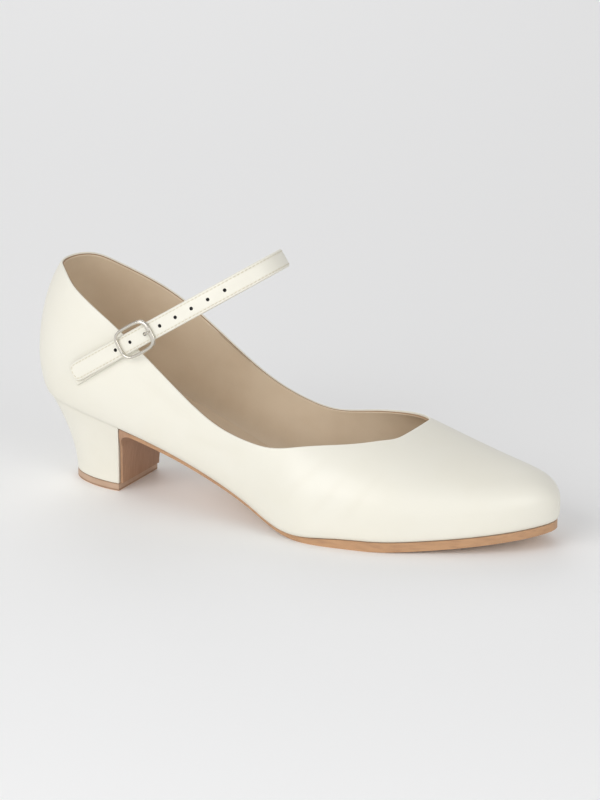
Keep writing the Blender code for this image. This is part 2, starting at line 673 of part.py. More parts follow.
class StrapPlane:
    """The inclined plane of the instep strap: a runs up along it, w across the strap, y sideways."""

    def __init__(self, last):
        self.last = last
        slope = math.radians(STRAP_SLOPE)
        x = STRAP_PLACE * LENGTH
        self.origin = np.array([x, 0.0, float(seat_line(x)) + STRAP_RISE * COLLAR_HEIGHT])
        self.up = np.array([math.cos(slope), 0.0, math.sin(slope)])
        self.wide = np.array([-math.sin(slope), 0.0, math.cos(slope)])

    def point(self, a, y, w):
        a, y, w = np.broadcast_arrays(a, y, w)
        place = self.origin + a[..., None] * self.up + w[..., None] * self.wide
        return place + y[..., None] * np.array([0.0, 1.0, 0.0])

    def quarter(self, a, w, side):
        """Sideways place of the upper's outer face, also where it would run on above the topline."""
        place = self.point(a, 0.0, w)
        x = place[..., 0]
        share = self.last.share_across(place[..., 2] - seat_line(x), x, side)
        ridge_side = self.last.ridge_side(x)
        return ridge_side + share * (self.last.half_width(x, side) - ridge_side)

    def strap_line(self, w, count):
        """The strap's middle surface at one place across it: rows of (a, y) from its tail to its root."""
        lateral_lift = 2 * GAP + BUCKLE_STRAP_THICKNESS + STRAP_THICKNESS / 2
        medial_lift = GAP + STRAP_THICKNESS / 2
        turn = np.radians(np.linspace(-90, 90, 241))
        squareness = 2 / LOOP_SQUARENESS
        loop_a = STRAP_REACH * np.cos(turn) ** squareness
        lift = {-1: lateral_lift, 1: medial_lift}
        start = {side: self.quarter(0.0, 0.0, side) + side * lift[side] for side in (-1, 1)}
        middle = (start[1] + start[-1]) / 2
        loop_y = middle + np.sign(turn) * (start[1] - middle) * np.abs(np.sin(turn)) ** squareness
        tail = np.linspace(-STRAP_TAIL_LENGTH, 0, 60)[:-1]
        root = np.linspace(0, -STRAP_ROOT_LENGTH, 30)[1:]
        a = np.concatenate([tail, loop_a, root])
        y = np.concatenate([0 * tail + start[-1], loop_y, 0 * root + start[1]])
        side = np.where(np.arange(len(a)) < len(a) // 2, -1, 1)
        blend = np.clip((a - DRAPE_LENGTH) / DRAPE_FADE_LENGTH + 1, 0, 1)
        blend = blend * blend * (3 - 2 * blend)
        for this in (-1, 1):
            draped = self.quarter(a, w, this) + this * lift[this]
            y = np.where(side == this, y * blend + draped * (1 - blend), y)
        return resample(np.column_stack([a, y]), count)

    def buckle_frame(self):
        """Middle of the buckle as (a, y), with the directions along the strap and outwards there."""
        line = self.strap_line(0.0, 400)
        front = line[: len(line) // 2]
        at = np.array([np.interp(BUCKLE_PLACE, front[:, 0], front[:, k]) for k in (0, 1)])
        ahead = BUCKLE_PLACE + BUCKLE_LENGTH / 4
        near = np.array([np.interp(ahead, front[:, 0], front[:, k]) for k in (0, 1)])
        along_strap = (near - at) / np.linalg.norm(near - at)
        return at, along_strap, np.array([along_strap[1], -along_strap[0]])

    def from_buckle(self, t, h, w):
        """A point given along the strap, outwards and across it, from the middle of the buckle."""
        at, along_strap, outward = self.buckle_frame()
        t, h = np.asarray(t, float), np.asarray(h, float)
        plan = at + t[..., None] * along_strap + h[..., None] * outward
        return self.point(plan[..., 0], plan[..., 1], w)


def ribbon(plane, lines, widths, thickness, shift=0.0):
    """Points of a strap: lines are rows of (a, y) for each column, widths and shift one value for each row."""
    layers = []
    for line, column, left in zip(lines, STRAP_COLUMNS, STRAP_EDGE):
        tangent = np.gradient(line, axis=0)
        tangent /= np.linalg.norm(tangent, axis=1)[:, None]
        outward = np.column_stack([tangent[:, 1], -tangent[:, 0]])
        pair = [line + outward * sign * thickness / 2 * left for sign in (-1, 1)]
        layers.append(np.stack([plane.point(p[:, 0], p[:, 1], column * widths + shift) for p in pair], axis=1))
    return np.stack(layers, axis=1)


def combine(target, tool, operation):
    """Cut one object out of another or join it to the other, and take it away."""
    modifier = target.modifiers.new(tool.name, "BOOLEAN")
    modifier.solver = "EXACT"
    modifier.operation = operation
    modifier.object = tool
    shape = target.evaluated_get(bpy.context.evaluated_depsgraph_get())
    mesh = bpy.data.meshes.new_from_object(shape)
    target.modifiers.clear()
    target.data = mesh
    bpy.data.objects.remove(tool, do_unlink=True)


def rod(name, points, radius, material, closed=False, flat=None):
    """A round bar along points; flat gives each point its own half width across."""
    points = np.asarray(points, float)
    count = len(points)
    if closed:
        tangent = np.roll(points, -1, axis=0) - np.roll(points, 1, axis=0)
    else:
        tangent = np.gradient(points, axis=0)
    tangent /= np.linalg.norm(tangent, axis=1)[:, None]
    normal = np.linalg.svd(points - points.mean(axis=0))[2][2]
    side_way = np.cross(tangent, normal)
    side_way /= np.linalg.norm(side_way, axis=1)[:, None]
    angle = np.linspace(0, 2 * math.pi, WIRE_SIDES, endpoint=False) + math.pi / WIRE_SIDES
    wide = np.full(count, radius) if flat is None else np.asarray(flat, float)
    ring = (
        points[:, None]
        + np.cos(angle)[None, :, None] * side_way[:, None] * wide[:, None, None]
        + np.sin(angle)[None, :, None] * normal * radius
    )
    number = np.arange(count * WIRE_SIDES).reshape(count, WIRE_SIDES)
    faces = []
    for i in range(count if closed else count - 1):
        j = (i + 1) % count
        for k in range(WIRE_SIDES):
            m = (k + 1) % WIRE_SIDES
            faces.append((number[i, k], number[i, m], number[j, m], number[j, k]))
    if not closed:
        faces += [tuple(number[0][::-1]), tuple(number[-1])]
    faces = [tuple(int(v) for v in face) for face in faces]
    return clean_mesh(name, ring.reshape(-1, 3), faces, material, 60)


def end_taper(distance, length, narrow):
    """Width of a strap near its end, from narrow to full."""
    share = np.clip(distance / length, 0, 1)
    return narrow + (1 - narrow) * np.sqrt(1 - (1 - share) ** 2)


def hole_cutter(plane, line, travel, place, material):
    """A round cutter through the strap at a distance along it."""
    spots = place, place + HOLE_DIAMETER / 2
    at, near = (np.array([np.interp(spot, travel, line[:, k]) for k in (0, 1)]) for spot in spots)
    ahead = (near - at) / np.linalg.norm(near - at)
    outward = np.array([ahead[1], -ahead[0]])
    ends = [plane.point(*(at + outward * side * CUTTER_LENGTH / 2), 0.0) for side in (-1, 1)]
    axis = (ends[1] - ends[0]) / CUTTER_LENGTH
    angle = np.linspace(0, 2 * math.pi, HOLE_SIDES, endpoint=False)[:, None]
    ring = HOLE_DIAMETER / 2 * (np.cos(angle) * plane.wide + np.sin(angle) * np.cross(axis, plane.wide))
    points = np.concatenate([ends[0] + ring, ends[1] + ring])
    count = HOLE_SIDES
    faces = [(k, (k + 1) % count, count + (k + 1) % count, count + k) for k in range(count)]
    faces += [tuple(range(count - 1, -1, -1)), tuple(range(count, 2 * count))]
    return clean_mesh("hole_cutter", points, faces, material)


def make_strap(plane, material):
    lines = [plane.strap_line(column * STRAP_WIDTH, STRAP_STATIONS) for column in STRAP_COLUMNS]
    travel = chords(lines[len(lines) // 2])
    tail = end_taper(travel, TAIL_TAPER_LENGTH, TAIL_END_SHARE)
    root = end_taper(travel[-1] - travel, ROOT_TAPER_LENGTH, ROOT_END_SHARE)
    widths = STRAP_WIDTH * np.minimum(tail, root)
    strap = lattice_solid("strap", ribbon(plane, lines, widths, STRAP_THICKNESS), material, 40)
    line = plane.strap_line(0.0, 800)
    travel = chords(line)
    prong = STRAP_TAIL_LENGTH + BUCKLE_PLACE + BAR_PLACE
    for k in range(-HOLES_BACK, HOLES_FORWARD + 1):
        cutter = hole_cutter(plane, line, travel, prong + k * HOLE_PITCH, material)
        combine(strap, cutter, "DIFFERENCE")


def make_buckle_strap(plane, material):
    """The short strap: on the outer quarter, past the topline, and folded round the hidden bar."""
    wrap = BAR_DIAMETER / 2 + GAP + BUCKLE_STRAP_THICKNESS / 2
    depth = bar_depth()
    angle = np.radians(FOLD_ANGLES)
    local_t = [-FOLD_LEAD_LENGTH, -FOLD_LEAD_LENGTH / 3] + list(wrap * np.cos(angle))
    local_t = BAR_PLACE + np.array(local_t + [-FOLD_END_LENGTH / 2, -FOLD_END_LENGTH])
    local_h = -depth + wrap * np.array([-1, -1] + list(np.sin(angle)) + [1, 1])
    at, along_strap, outward = plane.buckle_frame()
    local = at + np.outer(local_t, along_strap) + np.outer(local_h, outward)
    a = np.linspace(-BUCKLE_STRAP_LENGTH, STRAP_EXIT_LENGTH, SHORT_STRAP_STATIONS)
    drop = BUCKLE_STRAP_DROP * np.clip(-a / BUCKLE_STRAP_LENGTH, 0, 1)
    lines = []
    for column in STRAP_COLUMNS:
        y = plane.quarter(a, column * STRAP_WIDTH - drop, -1) - GAP - BUCKLE_STRAP_THICKNESS / 2
        lines.append(np.concatenate([np.column_stack([a, y]), local]))
    widths = np.full(len(lines[0]), STRAP_WIDTH)
    shift = -np.concatenate([drop, 0 * local_t])
    points = ribbon(plane, lines, widths, BUCKLE_STRAP_THICKNESS, shift)
    made = lattice_solid("buckle_strap", points, material, 40)
    reach = BAR_DIAMETER + 2 * BUCKLE_STRAP_THICKNESS
    corners = [
        plane.from_buckle(BAR_PLACE + t, -depth + h, w)
        for t in (reach - SLOT_LENGTH, reach)
        for h in (-reach, reach)
        for w in (-PRONG_SLOT / 2, PRONG_SLOT / 2)
    ]
    block = np.array(corners).reshape(2, 2, 2, 3)
    combine(made, lattice_solid("slot_cutter", block, material), "DIFFERENCE")


def bar_depth():
    """How far the hidden bar lies inside the strap's middle surface."""
    return STRAP_THICKNESS / 2 + GAP + BUCKLE_STRAP_THICKNESS + GAP + BAR_DIAMETER / 2


def frame_height():
    return STRAP_THICKNESS / 2 + GAP + BUCKLE_WIRE / 2


def make_buckle_frame(plane, material):
    """A rounded wire frame with a broader front bar, and a bar that drops under the strap."""
    half_long, half_wide = (BUCKLE_LENGTH - BUCKLE_WIRE) / 2, (BUCKLE_WIDTH - BUCKLE_WIRE) / 2
    angle = np.linspace(0, 2 * math.pi, BUCKLE_STATIONS, endpoint=False)
    t = half_long * np.sign(np.cos(angle)) * np.abs(np.cos(angle)) ** BUCKLE_SQUARENESS
    w = half_wide * np.sign(np.sin(angle)) * np.abs(np.sin(angle)) ** BUCKLE_SQUARENESS
    loop = plane.from_buckle(t, np.full(BUCKLE_STATIONS, frame_height()), w)
    broad = 1 + FRONT_BAR_WIDENING * np.clip(np.cos(angle), 0, 1) ** FRONT_BAR_BEND
    frame = rod("buckle_frame", loop, BUCKLE_WIRE / 2, material, True, broad * BUCKLE_WIRE / 2)
    drop = [(w, level * (frame_height() if level > 0 else bar_depth())) for w, level in BAR_DROP]
    path = [(BAR_PLACE, h, half_wide * w) for w, h in drop]
    path += [(BAR_PLACE, h, -w) for _, h, w in path[::-1]]
    bar = rod("bar", [plane.from_buckle(*p) for p in path], BAR_DIAMETER / 2, material)
    combine(frame, bar, "UNION")


def make_buckle_prong(plane, material):
    """The prong: hooked round the hidden bar, up through the strap's hole, with its tip on the front bar."""
    radius = PRONG_DIAMETER / 2
    hook = BAR_DIAMETER / 2 + GAP + radius
    depth = bar_depth()
    angle = np.radians(HOOK_ANGLES)
    t = list(BAR_PLACE + hook * np.cos(angle))
    h = list(-depth + hook * np.sin(angle))
    rest = frame_height() + BUCKLE_WIRE / 2 + GAP + radius
    tip = (BUCKLE_LENGTH - BUCKLE_WIRE) / 2
    t += [BAR_PLACE, BAR_PLACE, BAR_PLACE + PRONG_RISE_LENGTH]
    t += [tip - BUCKLE_WIRE / 2, tip + PRONG_TIP_LENGTH]
    h += [-STRAP_THICKNESS / 2, STRAP_THICKNESS / 2, rest - BAR_DIAMETER, rest, rest]
    path = plane.from_buckle(np.array(t), np.array(h), 0.0)
    rod("buckle_prong", path, radius, material)


def build():
    for item in list(bpy.data.objects):
        bpy.data.objects.remove(item, do_unlink=True)
    ivory = make_material("ivory leather", (0.80, 0.77, 0.66), 0.38)
    tan = make_material("tan sole leather", (0.62, 0.40, 0.25), 0.55)
    lift = make_material("top piece", (0.70, 0.52, 0.40), 0.6)
    lining = make_material("lining leather", (0.78, 0.68, 0.55), 0.6)
    last = Last()
    make_upper(last, ivory)
    make_insole(last, lining)
    make_outsole(last, tan)
    make_heel(last, ivory)
    make_top_lift(last, lift)
    chrome = make_material("buckle metal", (0.72, 0.72, 0.72), 0.18, 1.0)
    plane = StrapPlane(last)
    make_strap(plane, ivory)
    make_buckle_strap(plane, ivory)
    make_buckle_frame(plane, chrome)
    make_buckle_prong(plane, chrome)


build()
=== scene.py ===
import math
import random

import bmesh
import bpy
import numpy as np
from mathutils import Matrix, Vector
from mathutils.kdtree import KDTree


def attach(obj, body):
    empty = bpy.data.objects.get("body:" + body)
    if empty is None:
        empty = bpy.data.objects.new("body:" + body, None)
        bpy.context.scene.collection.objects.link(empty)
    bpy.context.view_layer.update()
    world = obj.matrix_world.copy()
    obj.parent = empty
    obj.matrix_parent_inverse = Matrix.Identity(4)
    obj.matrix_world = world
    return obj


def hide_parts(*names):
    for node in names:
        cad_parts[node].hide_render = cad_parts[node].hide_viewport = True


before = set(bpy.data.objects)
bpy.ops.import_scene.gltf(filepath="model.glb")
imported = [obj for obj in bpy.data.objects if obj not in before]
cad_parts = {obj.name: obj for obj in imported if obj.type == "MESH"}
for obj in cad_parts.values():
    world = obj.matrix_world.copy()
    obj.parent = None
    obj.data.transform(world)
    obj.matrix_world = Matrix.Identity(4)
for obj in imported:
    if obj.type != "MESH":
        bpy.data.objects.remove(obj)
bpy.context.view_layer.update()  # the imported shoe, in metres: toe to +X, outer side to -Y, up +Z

# sizes of the shoe; x is measured from the back of the counter while shapes are worked out
shoe = {
    "length": 0.243,
    "ballWidth": 0.081,
    "heelHeight": 0.040,
    "instepHeight": 0.090,
    "collarHeight": 0.058,
    "throat": 0.1785,
    "throatRound": 0.0045,
    "wall": 0.0018,
    "gap": 0.0003,
    "lastingMargin": 0.006,
    "insoleThickness": 0.0022,
    "soleThickness": 0.0040,
    "soleOverhang": 0.0012,
    "waistCrown": 0.0014,
    "crownEnd": 0.62,
    "toeSpring": 0.0078,
    "treadEnd": 0.72,
    "tipSide": 0.070,
    "heelCentre": 0.024,
    "fanStart": 0.27,
}

# share of length, underside height, edge thickness
bottomTable = (
    (0.00, 0.957, 0.375),
    (0.10, 0.868, 0.375),
    (0.20, 0.745, 0.375),
    (0.30, 0.574, 0.375),
    (0.40, 0.360, 0.375),
    (0.48, 0.171, 0.375),
    (0.53, 0.052, 0.390),
    (0.57, 0.008, 0.470),
    (0.61, 0.000, 0.640),
    (0.65, 0.000, 0.850),
    (0.70, 0.000, 1.000),
    (0.76, 0.000, 1.000),
    (0.88, 0.000, 0.940),
    (1.00, 0.000, 0.880),
)
# share of length, outer and inner reach of the widest line
outlineTable = (
    (0.000, 0.000, 0.000),
    (0.018, 0.185, 0.185),
    (0.065, 0.300, 0.302),
    (0.130, 0.352, 0.352),
    (0.210, 0.368, 0.360),
    (0.310, 0.366, 0.334),
    (0.410, 0.388, 0.308),
    (0.510, 0.456, 0.330),
    (0.600, 0.524, 0.400),
    (0.670, 0.502, 0.455),
    (0.740, 0.463, 0.480),
    (0.810, 0.378, 0.462),
    (0.880, 0.280, 0.402),
    (0.940, 0.170, 0.318),
    (0.982, 0.050, 0.215),
)
# share of length, tuck outer and inner, rise outer and inner, squareness of the lower corner
wallTable = (
    (0.00, 0.058, 0.058, 0.215, 0.215, 1.7),
    (0.10, 0.062, 0.062, 0.215, 0.215, 1.8),
    (0.22, 0.064, 0.074, 0.210, 0.225, 2.0),
    (0.34, 0.062, 0.090, 0.200, 0.240, 2.3),
    (0.46, 0.058, 0.094, 0.180, 0.235, 2.5),
    (0.58, 0.044, 0.060, 0.155, 0.190, 3.2),
    (0.70, 0.036, 0.038, 0.140, 0.150, 4.2),
    (0.85, 0.032, 0.032, 0.120, 0.125, 4.2),
    (1.00, 0.028, 0.028, 0.100, 0.100, 4.2),
)
# share of length, ridge height, its offset to the inner side, fullness of the dome
coneTable = (
    (0.00, 0.750, 0.000, 2.00),
    (0.10, 0.825, 0.000, 2.00),
    (0.25, 1.000, 0.015, 2.00),
    (0.40, 0.930, 0.050, 2.00),
    (0.52, 0.735, 0.075, 2.00),
    (0.62, 0.568, 0.085, 2.05),
    (0.70, 0.484, 0.090, 2.10),
    (0.78, 0.398, 0.090, 2.15),
    (0.86, 0.315, 0.085, 2.20),
    (0.93, 0.255, 0.078, 2.25),
    (0.975, 0.200, 0.072, 2.25),
)
# share of length, outer and inner height of the topline
toplineTable = (
    (0.00, 0.990, 0.990),
    (0.05, 1.000, 1.000),
    (0.12, 0.912, 0.930),
    (0.20, 0.800, 0.835),
    (0.30, 0.610, 0.685),
    (0.40, 0.475, 0.570),
    (0.50, 0.545, 0.575),
    (0.58, 0.655, 0.648),
    (0.64, 0.664, 0.662),
    (0.69, 0.669, 0.669),
    (0.715, 0.672, 0.672),
    (0.727, 0.675, 0.675),
)


class SmoothCurve:
    def __init__(self, t, p, end=None, closed=False):
        self.t = np.asarray(t, float)
        self.p = np.asarray(p, float).reshape(len(self.t), -1)
        n, h, p = len(self.t), np.diff(self.t), self.p
        a, b = np.zeros((n, n)), np.zeros_like(p)
        for i in range(1, n - 1):
            a[i, i - 1 : i + 2] = h[i], 2 * (h[i - 1] + h[i]), h[i - 1]
            b[i] = 3 * (h[i] * (p[i] - p[i - 1]) / h[i - 1] + h[i - 1] * (p[i + 1] - p[i]) / h[i])
        if closed:
            a[0, 0], a[0, 1], a[0, n - 2] = 2 * (h[-1] + h[0]), h[-1], h[0]
            b[0] = 3 * (h[0] * (p[0] - p[n - 2]) / h[-1] + h[-1] * (p[1] - p[0]) / h[0])
            a[n - 1, 0], a[n - 1, n - 1] = 1, -1
        else:
            a[0, 0], a[0, 1], b[0] = 2, 1, 3 * (p[1] - p[0]) / h[0]
            a[-1, -1], b[-1] = (1, end) if end is not None else (2, 3 * (p[-1] - p[-2]) / h[-1])
            a[-1, -2] = 0 if end is not None else 1
        self.m = np.linalg.solve(a, b)

    def __call__(self, q):
        q = np.clip(np.asarray(q, float), self.t[0], self.t[-1])
        i = np.clip(np.searchsorted(self.t, q, side="right") - 1, 0, len(self.t) - 2)
        h = (self.t[i + 1] - self.t[i])[..., None]
        s = (q[..., None] - self.t[i][..., None]) / h
        p0, p1, m0, m1 = self.p[i], self.p[i + 1], self.m[i], self.m[i + 1]
        near = p0 * (1 + 2 * s) * (1 - s) ** 2 + p1 * s**2 * (3 - 2 * s)
        return near + h * m0 * s * (1 - s) ** 2 - h * m1 * s**2 * (1 - s)


def chords(points):
    return np.concatenate([[0.0], np.cumsum(np.linalg.norm(np.diff(points, axis=0), axis=1))])


# points read at travel q, where t is the travel of each given point
def readAt(q, t, points):
    return np.stack([np.interp(q, t, points[:, k]) for k in range(points.shape[1])], axis=-1)


def resample(points, count, bias=1.0):
    t = chords(points)
    return readAt(t[-1] * np.linspace(0, 1, count) ** bias, t, points)


def smoothPath(path, count):
    t = chords(path)
    return SmoothCurve(t, path)(np.linspace(0, t[-1], count))


def unit(vectors):
    return vectors / np.linalg.norm(vectors, axis=-1, keepdims=True)


def smoothStep(x):
    x = np.clip(x, 0, 1)
    return x * x * (3 - 2 * x)


def power(base, exponent):
    return np.clip(base, 0.0, None) ** exponent


def hill(x, width):
    return np.exp(-((x / width) ** 2))


# a quarter circle that rises from 0 to 1 over reach
def roundOff(distance, reach):
    return np.sqrt(1 - (1 - np.clip(distance / reach, 0, 1)) ** 2)


def circle(count):
    return [(math.cos(t), math.sin(t)) for t in np.linspace(0, 2 * math.pi, count, endpoint=False)]


def columnOf(table, column, size):
    rows = np.array(table)
    curve = SmoothCurve(rows[:, 0] * shoe["length"], rows[:, column] * size)
    return lambda x: curve(x)[..., 0]


undersideCurve = columnOf(bottomTable, 1, shoe["heelHeight"])
edgeThickness = columnOf(bottomTable, 2, shoe["soleThickness"])


def underside(x):
    past = np.asarray(x, float) / shoe["length"] - shoe["treadEnd"]
    spring = np.clip(past / (1 - shoe["treadEnd"]), 0, None)
    return np.clip(undersideCurve(x), 0, None) + shoe["toeSpring"] * spring**1.5


def seatLine(x):
    return underside(x) + edgeThickness(x) + shoe["gap"]


class Last:
    samples = 2400

    def __init__(self):
        length, width = shoe["length"], shoe["ballWidth"]
        rows = np.array(outlineTable) * (length, width, width)
        lateral = [(x, -a) for x, a, _ in rows]
        medial = [(x, b) for x, _, b in rows[:0:-1]]
        points = np.array(lateral + [(length, shoe["tipSide"] * width)] + medial + lateral[:1])
        t = chords(points)
        curve = SmoothCurve(t, points, closed=True)
        half = t[len(lateral)]
        self.edge = {
            -1: curve(np.linspace(0, half, self.samples)),
            1: curve(np.linspace(t[-1], half, self.samples)),
        }
        self.out = {}
        for side in (-1, 1):
            tangent = unit(np.gradient(self.edge[side], axis=0))
            self.out[side] = np.column_stack([-side * tangent[:, 1], side * tangent[:, 0]])
        self.tuck = {-1: columnOf(wallTable, 1, width), 1: columnOf(wallTable, 2, width)}
        self.rise = {-1: columnOf(wallTable, 3, width), 1: columnOf(wallTable, 4, width)}
        self.corner = columnOf(wallTable, 5, 1.0)
        self.ridgeSide = columnOf(coneTable, 2, width)
        self.dome = columnOf(coneTable, 3, 1.0)
        cone = np.vstack([
            np.array(coneTable)[:, :2] * (length, shoe["instepHeight"]),
            (length, float(self.rise[-1](length))),
        ])
        t = chords(cone)
        self.ridgeLine = SmoothCurve(t, cone, end=(0.0, -1.0))(np.linspace(0, t[-1], self.samples))
        self.top = {}
        for column, side in ((1, -1), (2, 1)):
            table = np.array(toplineTable)
            x = np.append(table[:, 0] * length, shoe["throat"])
            heights = np.append(table[:, column] * shoe["collarHeight"], self.ridge(shoe["throat"]))
            self.top[side] = SmoothCurve(x, heights)

    def ridge(self, x):
        return np.interp(x, self.ridgeLine[:, 0], self.ridgeLine[:, 1])

    def topline(self, x, side):
        return self.top[side](x)[..., 0]

    def halfWidth(self, x, side):
        return np.interp(x, self.edge[side][:, 0], self.edge[side][:, 1])

    def shareAcross(self, height, x, side):
        rise, n = self.rise[side](x), self.dome(x)
        level = np.clip((height - rise) / np.maximum(self.ridge(x) - rise, 1e-6), 0, 1)
        return power(1 - level**n, 1 / n)

    def height(self, x, share, side):
        rise, n = self.rise[side](x), self.dome(x)
        return rise + (self.ridge(x) - rise) * power(1 - np.clip(share, 0, 1) ** n, 1 / n)

    def path(self, start, end, side):
        t = np.linspace(0, 1, 200) ** 2
        x = start[0] + (end[0] - start[0]) * t
        ridgeSide = self.ridgeSide(x)
        reach = self.halfWidth(x, side) - ridgeSide
        reach = np.where(np.abs(reach) < 1e-6, side * 1e-6, reach)
        endShare = (end[1] - ridgeSide[-1]) / reach[-1]
        straight = (start[1] + (end[1] - start[1]) * t - ridgeSide) / reach
        toe = smoothStep((start[0] / shoe["length"] - 0.58) / 0.30)
        share = np.clip((1 + (endShare - 1) * t) * (1 - toe) + straight * toe, 0, 1)
        share[0] = 1.0
        path = np.column_stack([x, ridgeSide + share * reach, seatLine(x) + self.height(x, share, side)])
        path[0, :2] = start
        return path

    def stations(self, side, count):
        edge, out = self.edge[side], self.out[side]
        turn = np.linalg.norm(np.diff(out, axis=0), axis=1)
        measure = np.append(0.0, np.cumsum(np.linalg.norm(np.diff(edge, axis=0), axis=1) + 0.013 * turn))
        picked = np.interp(np.linspace(0, measure[-1], count + 1), measure, np.arange(len(edge)))
        return np.round(picked).astype(int)

    def throatCurve(self, side, start):
        x = shoe["throat"] - (shoe["throat"] - start) * np.linspace(1, 0, 500) ** 2
        share = self.shareAcross(self.topline(x, side), x, side)
        ridgeSide = self.ridgeSide(x)
        curve = np.column_stack([x, ridgeSide + share * (self.halfWidth(x, side) - ridgeSide)])
        travel = chords(curve)
        even = np.linspace(0, travel[-1], 600)
        curve = readAt(even, travel, curve)
        # the corners of its end are rounded, with the far side of the ridge as a mirror image
        reach = int(shoe["throatRound"] / even[1])
        beyond = curve[-2 : -2 - reach : -1] * (1, -1) + (0, 2 * curve[-1, 1])
        longer = np.concatenate([np.repeat(curve[:1], reach, axis=0), curve, beyond])
        near = smoothStep((even - travel[-1]) / (3 * shoe["throatRound"]) + 2)
        kernel = np.ones(2 * reach + 1) / (2 * reach + 1)
        rounded = np.column_stack([np.convolve(longer[:, k], kernel, "valid") for k in (0, 1)])
        return curve + (rounded - curve) * near[:, None]

    # rows of points from the lasting margin up to the topline, for one side, set in by depth
    def sideWalls(self, side, count, lowerRows, upperRows, depth=0.0):
        picked = self.stations(side, count)
        edge, out = self.edge[side][picked], self.out[side][picked]
        x = edge[:, 0]
        tuck, rise, corner = self.tuck[side](x), self.rise[side](x), self.corner(x)
        start = shoe["fanStart"] * shoe["length"]
        travel = chords(self.edge[side])
        fromStart = np.interp(start, self.edge[side][:, 0], travel)
        share = (travel[picked] - fromStart) / (travel[-1] - fromStart)
        throat = self.throatCurve(side, start)
        throatTravel = chords(throat)
        pivot = np.array([shoe["heelCentre"], 0.0])
        lower, upper = [], []
        for i in range(len(picked)):
            plan, lift = [edge[i] - (tuck[i] + shoe["lastingMargin"]) * out[i]], [depth]
            for t in np.radians(np.linspace(0, 90, lowerRows)):
                back = 1 - power(np.sin(t), 2 / corner[i])
                up = 1 - power(np.cos(t), 2 / corner[i])
                plan.append(edge[i] - (depth + (tuck[i] - depth) * back) * out[i])
                lift.append(depth + (rise[i] - depth) * up)
            plan = np.array(plan)
            lower.append(np.column_stack([plan, seatLine(plan[:, 0]) + lift]))
            if x[i] < shoe["heelCentre"]:
                topShare = self.shareAcross(self.topline(x[i], side), x[i], side)
                spread = 1 - (1 - topShare) * np.linspace(0, 1, 120) ** 2
                plan = pivot + (edge[i] - pivot) * spread[:, None]
                path = np.column_stack([plan, seatLine(x[i]) + self.height(x[i], spread, side)])
            else:
                if x[i] <= start:
                    here = np.array([x[i]])
                    topShare = self.shareAcross(self.topline(here, side), here, side)[0]
                    middle = float(self.ridgeSide(x[i]))
                    target = np.array([x[i], middle + topShare * (edge[i, 1] - middle)])
                else:
                    target = readAt(share[i] * throatTravel[-1], throatTravel, throat)
                path = self.path(edge[i], target, side)
            upper.append(resample(path, upperRows, 1.25)[1:])
        return np.array(lower), np.array(upper)

    # the whole wall as one grid whose first index runs round the shoe
    def walls(self, count, lowerRows, upperRows, depth=0.0):
        parts = [self.sideWalls(side, count, lowerRows, upperRows, depth) for side in (-1, 1)]
        rows = [np.concatenate(part, axis=1) for part in parts]
        return np.concatenate([rows[0], rows[1][-2:0:-1]])


def soften(grid, passes, alongWall=True):
    for _ in range(passes):
        grid = 0.25 * np.roll(grid, 1, axis=0) + 0.5 * grid + 0.25 * np.roll(grid, -1, axis=0)
        if alongWall:
            inner = 0.25 * grid[:, :-2] + 0.5 * grid[:, 1:-1] + 0.25 * grid[:, 2:]
            grid = np.concatenate([grid[:, :1], inner, grid[:, -1:]], axis=1)
    return grid


def gridNormals(grid):
    around = np.roll(grid, -1, axis=0) - np.roll(grid, 1, axis=0)
    normal = np.cross(around, np.gradient(grid, axis=1))
    return normal / np.maximum(np.linalg.norm(normal, axis=2), 1e-12)[:, :, None]


def addObject(name, data):
    made = bpy.data.objects.new(name, data)
    bpy.context.scene.collection.objects.link(made)
    return made


def makePiece(
    name, points, faces, materials, replaced=(), sharp=None, faceMaterials=None, weld=0.00001
):
    mesh = bpy.data.meshes.new(name)
    places = np.reshape(points, (-1, 3)) - rowOrigin
    mesh.from_pydata(places.tolist(), [], [tuple(int(v) for v in f) for f in faces])
    if faceMaterials is not None:
        mesh.polygons.foreach_set("material_index", np.asarray(faceMaterials, dtype=np.int32))
    work = bmesh.new()
    work.from_mesh(mesh)
    bmesh.ops.remove_doubles(work, verts=work.verts[:], dist=weld)
    bmesh.ops.recalc_face_normals(work, faces=work.faces[:])
    work.to_mesh(mesh)
    work.free()
    mesh.shade_smooth()
    if sharp:
        mesh.set_sharp_from_angle(angle=math.radians(sharp))
    for material in materials:
        mesh.materials.append(material)
    piece = addObject(name, mesh)
    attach(piece, "root")
    if replaced:
        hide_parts(*replaced)
    return piece


# faces of a wall whose points are indexed round the shoe and up
def gridFaces(around, up, flip=False):
    number = np.arange(around * up).reshape(around, up)
    faces = []
    for i in range(around):
        j = (i + 1) % around
        for k in range(up - 1):
            face = (number[i, k], number[j, k], number[j, k + 1], number[i, k + 1])
            faces.append(face[::-1] if flip else face)
    return faces


# faces of a tube or a flat sleeve, whose points are indexed along it and round it
def tubeFaces(along, around, closed=False):
    number = np.arange(along * around).reshape(along, around)
    beside, faces = np.roll(number, -1, axis=1), []
    for i in range(along if closed else along - 1):
        j = (i + 1) % along
        faces += zip(number[i], beside[i], beside[j], number[j])
    return faces


# the outer faces of a block of points, indexed along, across and through
def blockFaces(points):
    counts = points.shape[:3]
    number = np.arange(np.prod(counts)).reshape(counts)
    faces = []
    for sheet in (number[0], number[-1], number[:, 0], number[:, -1], number[:, :, 0], number[:, :, -1]):
        quads = np.stack([sheet[:-1, :-1], sheet[1:, :-1], sheet[1:, 1:], sheet[:-1, 1:]], axis=-1)
        faces += [tuple(quad) for quad in quads.reshape(-1, 4)]
    flat = points.reshape(-1, 3)
    _, first = np.unique(np.round(flat, 6), axis=0, return_inverse=True)
    first = first.reshape(-1)
    return flat, [face for face in faces if len({int(first[v]) for v in face}) > 2]


